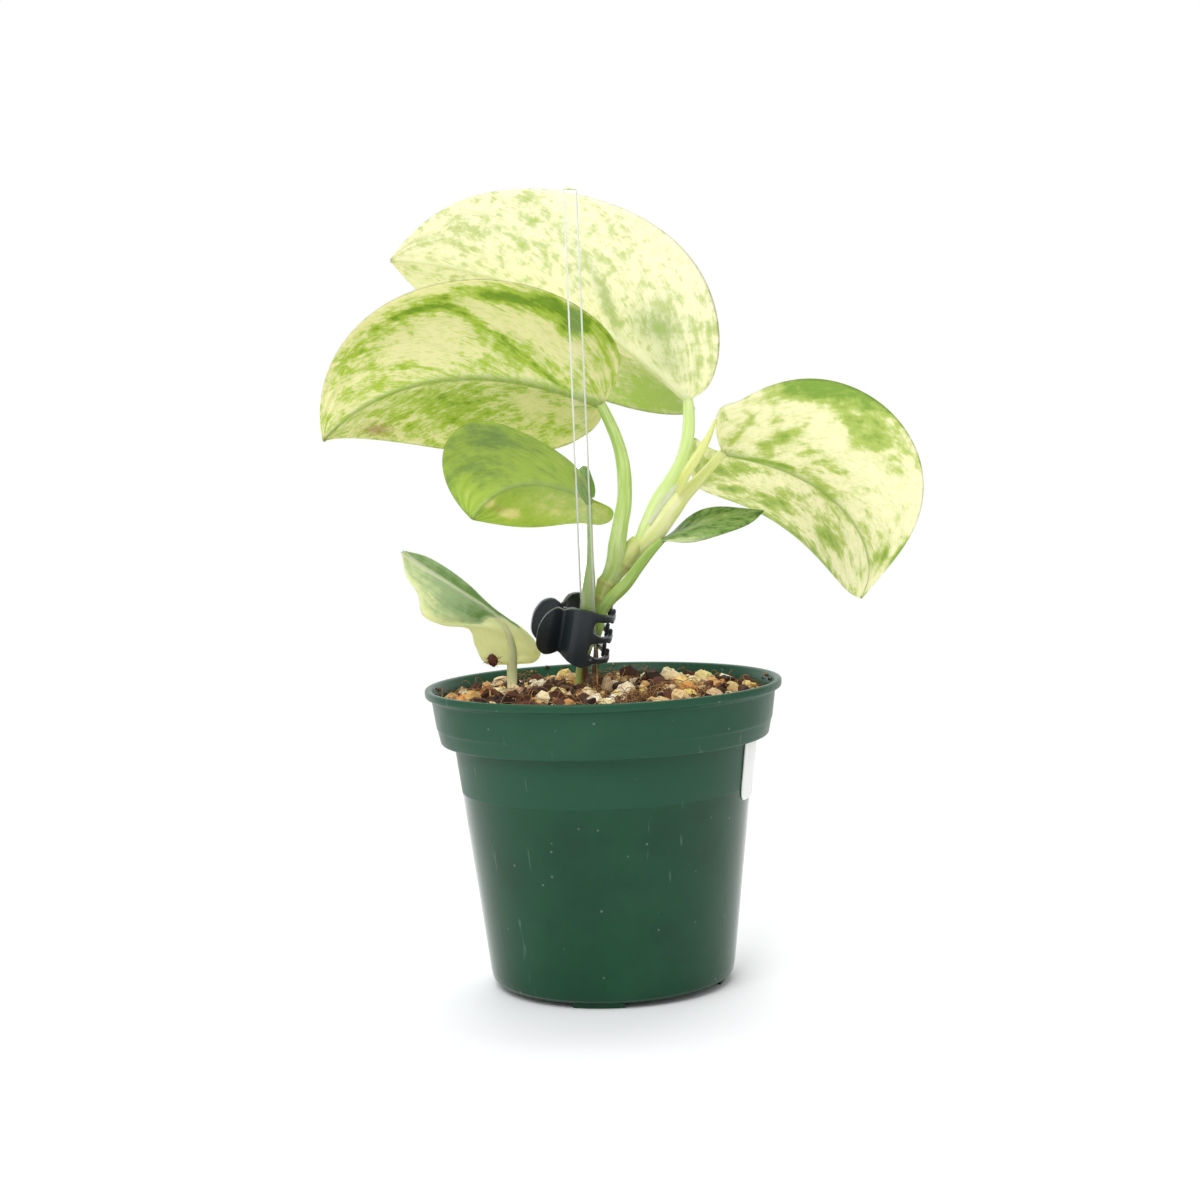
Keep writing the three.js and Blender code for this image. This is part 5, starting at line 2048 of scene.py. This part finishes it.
# Every stem, stalk, sheath and root of the plant by its node
STEMS: dict[str, Stem] = {
    "main_stem": Stem(
        (
            (-9.5, 3.5, 60, 1.2), (-8, 3.6, 75, 1.3), (-7.3, 3.8, 84, 1.3), (-5.9, 3.9, 91, 1.5),
            (-3.9, 4.1, 98, 1.8), (-1.9, 4.3, 104.4, 1.9), (0, 4.8, 109.5, 2.2), (1.9, 5, 114, 2.8),
            (4.3, 5.2, 117.3, 2.7), (6.8, 4.9, 120.2, 3.1), (9.5, 4.5, 123.3, 3.1), (12, 4.5, 126, 2.7),
        ),
        0.95, "stem", StalkFinish("stem_olive", 0xC4D468, 0xE6E8A0), ribs=5,
        rings=(0.42, 0.545, 0.64, 0.82),
    ),
    "stalk_upper": Stem(
        (
            (9.6, 4.8, 123.2, 1.7), (12.9, 5.6, 126.6, 2.5), (15.8, 7.4, 131.8, 3.0),
            (18.6, 9.6, 137.3, 2.9), (21.8, 11.3, 142.3, 2.5), (25, 13.2, 148, 2.1),
            (27, 15.5, 154.2, 1.9), (27.9, 18.7, 160.6, 1.75), (28, 22.4, 166.9, 1.45),
        ),
        0.75, "stalks", StalkFinish("stalk_bright", 0xD6EC94, 0xEFF7C4), ribs=3,
    ),
    "stalk_right": Stem(
        (
            (10.2, 4.2, 122.4, 1.6), (14.4, 2.9, 126.2, 2.5), (17.6, 2.5, 130, 2.8),
            (21.2, 2.5, 134.6, 2.65), (25, 2.8, 139, 2.2), (29.2, 3.5, 142.8, 1.7),
            (33.2, 4.5, 146.9, 1.45), (37.4, 6.1, 151.2, 1.3),
        ),
        0.75, "stalks", StalkFinish("stalk_pale", 0xE8F094, 0xFBFACC), ribs=3,
    ),
    "stalk_left": Stem(
        (
            (0.9, 4.6, 112.0, 1.2), (2.6, 4.2, 115.2, 2.3), (4.2, 3.6, 118.6, 2.7),
            (5.0, 2.7, 122.0, 2.65), (5.5, 1.9, 126.0, 2.5), (6.6, 1.9, 131.5, 2.35),
            (7.9, 3, 137.6, 2.15), (8.2, 5, 144.4, 2.05), (7.8, 7, 149.5, 1.95), (6.6, 9, 155, 1.8),
            (4.8, 11, 160, 1.7), (2.2, 13.2, 166, 1.45),
        ),
        0.75, "stalks", StalkFinish("stalk_fresh", 0xB9D66C, 0xDFEEAA), ribs=3,
    ),
    "stalk_young": Stem(
        (
            (-2.0, 3.0, 97.5, 0.9), (-0.8, 2.3, 101.5, 1.4), (0.3, 2.2, 106, 1.6),
            (2.6, 1.6, 109.5, 1.75), (7.6, 0.9, 114.2, 1.65), (11.2, 0.6, 118.7, 1.5),
            (14.8, 0.1, 123.1, 1.3), (18.3, -0.3, 126.4, 0.9),
        ),
        0.6, "stalks", StalkFinish("stalk_deep", 0xA2C656, 0xC4DC86), ribs=2,
    ),
    "stalk_small": Stem(
        (
            (-4.5, 1.1, 98.6, 1.8), (-3.7, 1, 108.6, 2.0), (-2.9, 1, 115, 1.7), (-2.4, 1.2, 121, 1.0),
            (-2.2, 2.2, 129, 0.8), (-2.1, 3.9, 136, 0.8), (-1.9, 5.2, 139.2, 0.8),
        ),
        0.5, "stalks", StalkFinish("stalk_small_green", 0xA9C866, 0xC8DC90), ribs=2,
    ),
    "stalk_old": Stem(
        (
            (-26.6, 9.5, 70, 1.35), (-26.5, 9, 82, 1.35), (-26.3, 8.1, 89, 1.4),
            (-26.1, 6.8, 92.4, 1.4), (-25.9, 5.1, 96.4, 1.25), (-26.6, 3.2, 100.5, 0.9),
            (-28.3, 1.6, 104.2, 0.5),
        ),
        0.8, "old_stalk", StalkFinish("stalk_faded", 0xF4F6C6, 0xE6EDB4, glow=0.2, roughness=0.55),
        ribs=2,
    ),
    "new_leaf_spear": Stem(
        (
            (23.6, -0.2, 139.6, 0.8), (25.6, -1, 144.7, 1.3), (28.7, -1.2, 149.4, 1.3),
            (32.3, -1, 155, 0.9), (34.7, -0.5, 160.2, 0.3),
        ),
        0.9, "stalks", StalkFinish("spear_pale", 0xE6EC86, 0xF6F7C4, glow=0.45), ribs=2,
    ),
    "papery_sheath": Stem(
        (
            (14.6, 0.8, 131.0, 0.4), (17.6, 1.6, 134.6, 1.0), (21.2, 2.4, 139.2, 1.1),
            (25, 2.4, 143.4, 0.4),
        ),
        0.3, "sheath", StalkFinish("sheath_dry", 0xF2F5DC, 0xDCE0C8, glow=0.5, roughness=0.7), ribs=4,
    ),
    "aerial_root_1": Stem(
        (
            (-4.7, 1.9, 95.5, 0.6), (-4.9, 1.7, 91, 0.8), (-5.3, 1.6, 86.5, 0.7), (-5.9, 1.6, 80, 0.6),
            (-6.4, 1.4, 70, 0.4),
        ),
        1.0, "roots", ROOT_BROWN, ribs=4,
    ),
    "aerial_root_2": Stem(
        (
            (-1.7, 2.6, 96.5, 0.6), (-2, 2, 90.6, 0.8), (-2.5, 1.8, 87, 0.7), (-3.2, 1.8, 80, 0.6),
            (-3.6, 1.8, 70, 0.4),
        ),
        1.0, "roots", ROOT_BROWN, ribs=4,
    ),
}

# The dark bend between the small leaf and its stalk
KNEE = Stem(
    (
        (-2.0, 4.4, 137.0, 0.8), (-3.6, 5.0, 141.5, 1.5), (-4.2, 5.4, 145.6, 1.4), (-3.0, 5.8, 147.4, 1.0),
        (-1.9, 5.8, 144.4, 1.1), (-1.4, 5.6, 141.2, 1.3), (-1.5, 5.4, 139.2, 1.0),
    ),
    0.7, "stalks", StalkFinish("knee_green", 0x7AA53C, 0x9CC05C), ribs=3,
)

# The five living leaves by their nodes
BLADES: dict[str, Blade] = {
    "leaf_upper": Blade(
        base=(28, 22, 166.2), yaw=158, pitch=43, roll=57, length=103.5, droop=53, sweep=-18, twist=25,
        width=(36, 36.5), lobe=(7, 6.5), fold=(27, 38), curl=(-48, 41), belly=0.63, heel=0.6, ear=11,
        slot="leaf_cream", tone=0.27,
        finish=BladeFinish(
            "blade_upper", cream=0xFEFCE6, green=0xDAE2A8, dark=0xC6DC74, vein=0xF4F6D6, seed=1.0,
            streaks=32.0, rag=0.75, cloud=2.1, stain=0xBCCB9C,
        ),
        # Painted shade: broad dull sage patches that stand for shade on the blade
        stains_and_shades=(
            Patch(0.32, 0.42, 0.06, 0.2, 0.45), Patch(0.19, 0.3, 0.07, 0.22, 0.3),
            Patch(0.45, 0.24, 0.03, 0.2, 0.35, VEIN_REACH),
        ),
        marks=(
            Patch(0.75, 0.85, 0.02, 0.06, 0.5), Patch(0.72, 0.6, 0.016, 0.06, 0.5),
            Patch(0.7, 0.35, 0.02, 0.06, 0.4), Patch(0.8, 0.3, 0.05, 0.3, 0.15),
            Patch(0.64, 0.5, 0.06, 0.25, 0.16), Patch(0.86, 0.6, 0.05, 0.3, 0.2),
            Patch(0.53, 0.55, 0.03, 0.12, 0.25), Patch(0.44, 0.22, 0.025, 0.16, 0.4, VEIN_REACH),
            Patch(0.33, 0.46, 0.045, 0.16, 0.55), Patch(0.29, 0.88, 0.03, 0.12, 0.35),
            Patch(0.2, 0.6, 0.08, 0.35, 0.1), Patch(0.24, -0.72, 0.18, 0.36, 1.05),
            Patch(0.42, -0.9, 0.1, 0.3, 0.4), Patch(0.12, 0.3, 0.06, 0.3, 0.15),
        ),
    ),
    "leaf_left": Blade(
        base=(2.5, 13, 165.5), yaw=172.5, pitch=23.5, roll=55.5, length=89, droop=72.5, sweep=-38,
        twist=0, width=(35, 31.5), lobe=(6, 3.5), fold=(38, 33), curl=(76, 54), belly=0.6, heel=0.97,
        ear=-2, slot="leaf_marbled", tone=0.4,
        finish=BladeFinish(
            "blade_left", green=0xC8DC56, dark=0x92B61C, seed=2.0, streaks=25.0, rag=0.85, cloud=1.2,
            spots=260.0,
        ),
        marks=(
            Patch(0.51, 0.79, 0.06, 0.07, 0.7), Patch(0.41, 0.84, 0.06, 0.1, 0.95),
            Patch(0.33, 0.78, 0.035, 0.15, 0.95), Patch(0.26, 0.96, 0.06, 0.07, 0.6),
            Patch(0.43, 0.52, 0.08, 0.1, -0.6), Patch(0.29, 0.46, 0.045, 0.1, -0.5),
            Streak(
                (
                    (0.14, 0.05), (0.24, 0.11), (0.38, 0.24), (0.51, 0.43), (0.58, 0.59), (0.62, 0.68),
                    (0.72, 0.74),
                ),
                0.014, 0.55,
            ),
            Patch(0.68, 0.72, 0.06, 0.09, 0.4), Patch(0.62, 0.34, 0.09, 0.18, -0.5),
            Patch(0.47, 0.16, 0.02, 0.08, 0.4), Patch(0.42, 0.24, 0.05, 0.1, 0.2),
            Patch(0.72, 0.98, 0.14, 0.1, -0.4), Patch(0.82, 0.75, 0.05, 0.2, 0.2),
            Patch(0.62, -0.4, 0.2, 0.4, 0.3), Patch(0.36, -0.42, 0.045, 0.14, -0.55),
            Patch(0.1, -0.8, 0.05, 0.2, -0.5), Patch(0.25, -0.6, 0.05, 0.14, -0.3),
            Patch(0.1, 0.4, 0.08, 0.4, 0.1),
        ),
        stains_and_shades=(Patch(0.84, -0.72, 0.03, 0.13, 0.55),),
    ),
    "leaf_small": Blade(
        base=(-1.8, 5.2, 139), yaw=152, pitch=21, roll=24, length=44, droop=82, sweep=-25.5, twist=10,
        width=(24.5, 26), lobe=(0.5, 9), fold=(35, -2), curl=(31, 2), belly=0.8, heel=0.6, ear=3.5,
        slot="leaf_green", tone=0.84, midrib=0.7, side_veins=0.25,
        stains_and_shades=(Patch(0.85, -0.3, 0.03, 0.1, 0.25),),
        finish=BladeFinish(
            "blade_small", cream=0xFDF8C8, green=0xD2E676, dark=0xA6C26E, vein=0xBFD294, seed=3.0,
            streaks=14.0, rag=0.32, cloud=0.6, spots=200.0, bloom=0.1, glow=0.6,
        ),
        marks=(
            Patch(0.5, -0.6, 0.4, 0.5, -0.36), Patch(0.86, -0.06, 0.035, 0.1, -0.75),
            Patch(0.83, -0.5, 0.04, 0.14, -0.7), Patch(0.9, 0.5, 0.06, 0.3, -0.25),
            Patch(0.3, 0.6, 0.12, 0.3, -0.2), Patch(0.6, 0.7, 0.1, 0.2, 0.2),
            Patch(0.15, -0.7, 0.1, 0.4, -0.2),
        ),
    ),
    "leaf_right": Blade(
        base=(37, 6, 151), yaw=8, pitch=-14, roll=-35.5, length=70.5, droop=119, sweep=19.5, twist=-4,
        width=(36, 33.5), lobe=(13, 10.5), fold=(7, -8), curl=(-15, -50), belly=0.53, heel=0.6, ear=12,
        slot="leaf_marbled", tone=0.36,
        finish=BladeFinish(
            "blade_right", cream=0xFFFDE8, green=0xCFDD88, dark=0xA8C660, seed=4.0, streaks=20.0,
            rag=0.5, cloud=1.9, spots=185.0, glow=0.6,
        ),
        marks=(
            Patch(0.5, -0.93, 0.07, 0.13, 0.6), Patch(0.6, -0.86, 0.07, 0.18, 0.45),
            Patch(0.7, -0.88, 0.06, 0.18, 0.4), Patch(0.55, -1.0, 0.15, 0.07, 0.5),
            Patch(0.67, -0.95, 0.02, 0.1, -0.5, VEIN_REACH), Patch(0.65, -0.68, 0.06, 0.1, 0.3),
            Patch(0.42, -0.9, 0.03, 0.06, 0.5), Patch(0.39, -0.52, 0.03, 0.14, 0.45, VEIN_REACH),
            Patch(0.44, -0.34, 0.02, 0.12, 0.35, VEIN_REACH),
            Patch(0.19, -0.6, 0.03, 0.2, 0.3, VEIN_REACH),
            Streak(((0.02, -0.01), (0.1, -0.03), (0.2, -0.05), (0.36, -0.08)), 0.014, 0.7),
            Patch(0.5, -0.04, 0.07, 0.08, 0.3), Patch(0.52, -0.6, 0.06, 0.12, -0.4),
            Patch(0.72, -0.5, 0.1, 0.2, -0.5), Patch(0.8, -0.9, 0.08, 0.16, -0.4),
            Patch(0.25, -0.9, 0.12, 0.2, -0.3), Patch(0.85, -0.22, 0.035, 0.1, 0.6),
            Patch(0.87, -0.42, 0.035, 0.14, 0.6), Patch(0.9, -0.95, 0.035, 0.16, 0.8),
            Patch(0.81, -0.6, 0.02, 0.1, 0.4), Patch(0.25, 0.55, 0.08, 0.3, 0.55),
            Patch(0.41, 0.75, 0.05, 0.15, 0.45), Patch(0.37, 0.4, 0.05, 0.12, -0.5),
            Patch(0.54, 0.46, 0.03, 0.1, 0.4), Patch(0.43, 0.14, 0.05, 0.12, -0.4),
            Patch(0.55, 0.62, 0.05, 0.16, 0.5), Patch(0.7, 0.95, 0.16, 0.1, 0.5),
            Patch(0.57, 0.38, 0.04, 0.12, -0.3), Patch(0.72, 0.42, 0.05, 0.14, 0.5),
            Patch(0.97, 0.0, 0.05, 1.0, -0.3),
        ),
    ),
    "leaf_young": Blade(
        base=(18, -0.3, 126.2), yaw=20, pitch=18, roll=2, length=35.5, droop=22.5, sweep=11, twist=25,
        width=(10, 7), lobe=(0.5, 0.5), fold=(-7, -7), curl=(-20, 36.5), belly=0.58, heel=0.6, ear=0,
        slot="leaf_dark", tone=0.9, midrib=0.35, rows=110, columns=34, veins=7,
        # Darker palette, partly painted shade: this blade lies low, in the shade of the others
        finish=BladeFinish(
            "blade_young", cream=0xD3DFA4, green=0x8FAE60, dark=0x4F7434, vein=0x9DB472, seed=5.0,
            streaks=14.0, rag=0.6, cloud=0.9, glow=0.28,
        ),
        # The paler patch in the middle is a painted sheen; the other makes the lower edge paler
        marks=(Patch(0.5, 0.3, 0.25, 0.25, -0.35), Patch(0.3, -0.9, 0.25, 0.3, -0.55)),
    ),
}


# The studio


@dataclass
class Studio:
    """Pale floor, soft light and the camera of the reference view."""

    distance: float = 600.0
    height: float = 157.5
    pitch: float = 4.53
    roll: float = 2.1
    focal_pixels: float = 2107.0
    frame_pixels: float = 1200.0
    sensor: float = 36.0
    lights: tuple[tuple[str, Point, tuple[float, float], float], ...] = (
        ("key", (-0.35, -0.75, 0.95), (0.7, 0.7), 9.0),
        ("left_strip", (-0.85, -0.28, 0.2), (0.2, 1.0), 0.8),
        ("front_strip", (0.42, -0.85, 0.2), (0.07, 1.0), 0.3),
        ("right_strip", (0.8, -0.3, 0.25), (0.16, 1.0), 0.7),
        ("top", (0.1, 0.5, 1.1), (0.9, 0.9), 8.0),
        ("backdrop", (0.0, 1.3, 0.3), (2.8, 1.5), 14.0),
    )

    def floor(self) -> None:
        """A matte floor under the pot that fades into the white round it."""
        half = 900.0
        corners = np.array([[-half, -half, 0], [half, -half, 0], [half, half, 0], [-half, half, 0]])
        made = shown("floor", Surface(corners, [np.array([[0, 1, 2, 3]])]))
        material, n = material_nodes("floor_white")
        spot = n.add("VectorMath", {0: n.object_point()}, operation="LENGTH").outputs["Value"]
        fade = n.step(spot, 0.12, 0.5, 1.0, 0.0)
        inputs = {"Base Color": (0.92, 0.92, 0.93, 1), "Roughness": 0.9, "Alpha": fade}
        n.finish(inputs)
        made.data.materials.append(material)

    def light(self, name: str, place: Point, size: tuple[float, float], power: float) -> None:
        """A soft box that faces the plant's middle.

        Args:
            name: Its name.
            place: Its middle, in metres.
            size: Width and height.
            power: Watts.
        """
        lamp = bpy.data.lights.new(name, "AREA")
        lamp.shape = "RECTANGLE"
        lamp.size, lamp.size_y = size
        lamp.energy = power
        made = object_of(name, lamp)
        made.location = place
        aim = np.array([0, 0, 0.12]) - np.array(place)
        pitch = math.atan2(math.hypot(aim[0], aim[1]), -aim[2])
        made.rotation_euler = (pitch, 0, math.atan2(aim[1], aim[0]) - math.pi / 2)

    def camera(self) -> None:
        """The reference camera: in front of the axis, tilted down and rolled a little."""
        lens = bpy.data.cameras.new("camera")
        lens.sensor_fit = "HORIZONTAL"
        lens.sensor_width = self.sensor
        lens.lens = self.focal_pixels / self.frame_pixels * self.sensor
        lens.clip_start = 0.01
        lens.clip_end = 20.0
        made = object_of("camera", lens)
        made.location = (0, -self.distance * MM, self.height * MM)
        made.rotation_mode = "XYZ"
        down, roll = math.radians(self.pitch), math.radians(self.roll)
        forward = np.array([0, math.cos(down), -math.sin(down)])
        level = np.array([1.0, 0, 0])
        above = np.cross(level, forward)
        right = level * math.cos(roll) - above * math.sin(roll)
        up = above * math.cos(roll) + level * math.sin(roll)
        basis = np.column_stack([right, up, -forward])
        made.rotation_euler = matrix_to_euler(basis)
        bpy.context.scene.camera = made

    @staticmethod
    def sky() -> None:
        """White behind the plant, a softer even light on it."""
        world = bpy.data.worlds.new("studio")
        world.use_nodes = True
        n = Nodes(world.node_tree)
        lit = n.add("Background", {"Color": (0.97, 0.98, 1.0, 1.0), "Strength": 0.56}).outputs[0]
        seen = n.add("Background", {"Color": (1.0, 1.0, 1.0, 1.0), "Strength": 1.0}).outputs[0]
        path = n.add("LightPath")
        clear = n.math("SUBTRACT", path.outputs["Is Transmission Ray"], path.outputs["Is Diffuse Ray"])
        direct = n.math("MAXIMUM", path.outputs["Is Camera Ray"], clear)
        n.add("OutputWorld", {"Surface": n.add("MixShader", {0: direct, 1: lit, 2: seen}).outputs[0]})
        bpy.context.scene.world = world

    def build(self) -> None:
        """Sets floor, lights, sky and camera."""
        self.floor()
        for light in self.lights:
            self.light(*light)
        self.sky()
        bpy.context.scene.view_settings.view_transform = "Standard"
        self.camera()


def matrix_to_euler(basis: Array) -> tuple[float, float, float]:
    """The XYZ angles of a rotation given by its columns.

    Args:
        basis: The rotation.

    Returns:
        The angles.
    """
    x = math.atan2(basis[2, 1], basis[2, 2])
    y = math.atan2(-basis[2, 0], math.hypot(basis[2, 1], basis[2, 2]))
    z = math.atan2(basis[1, 0], basis[0, 0])
    return x, y, z


def main() -> None:
    """Builds the plant piece by piece, then the studio."""
    logging.basicConfig(level=logging.INFO, format="%(message)s")
    Shared.build()
    pot = Pot()
    pot.build()
    Label(pot).build()
    PottingMix(pot).build()
    Lumps().build()
    Stake().build()
    ClawClip().build()
    for node, stem in STEMS.items():
        stem.build(f"{node}_tissue", [node])
    KNEE.build("small_leaf_knee")
    for node, blade in BLADES.items():
        blade.build(node)
    OldLeaf().build()
    Studio().build()
    bpy.context.view_layer.update()


if __name__ == "__main__":
    main()
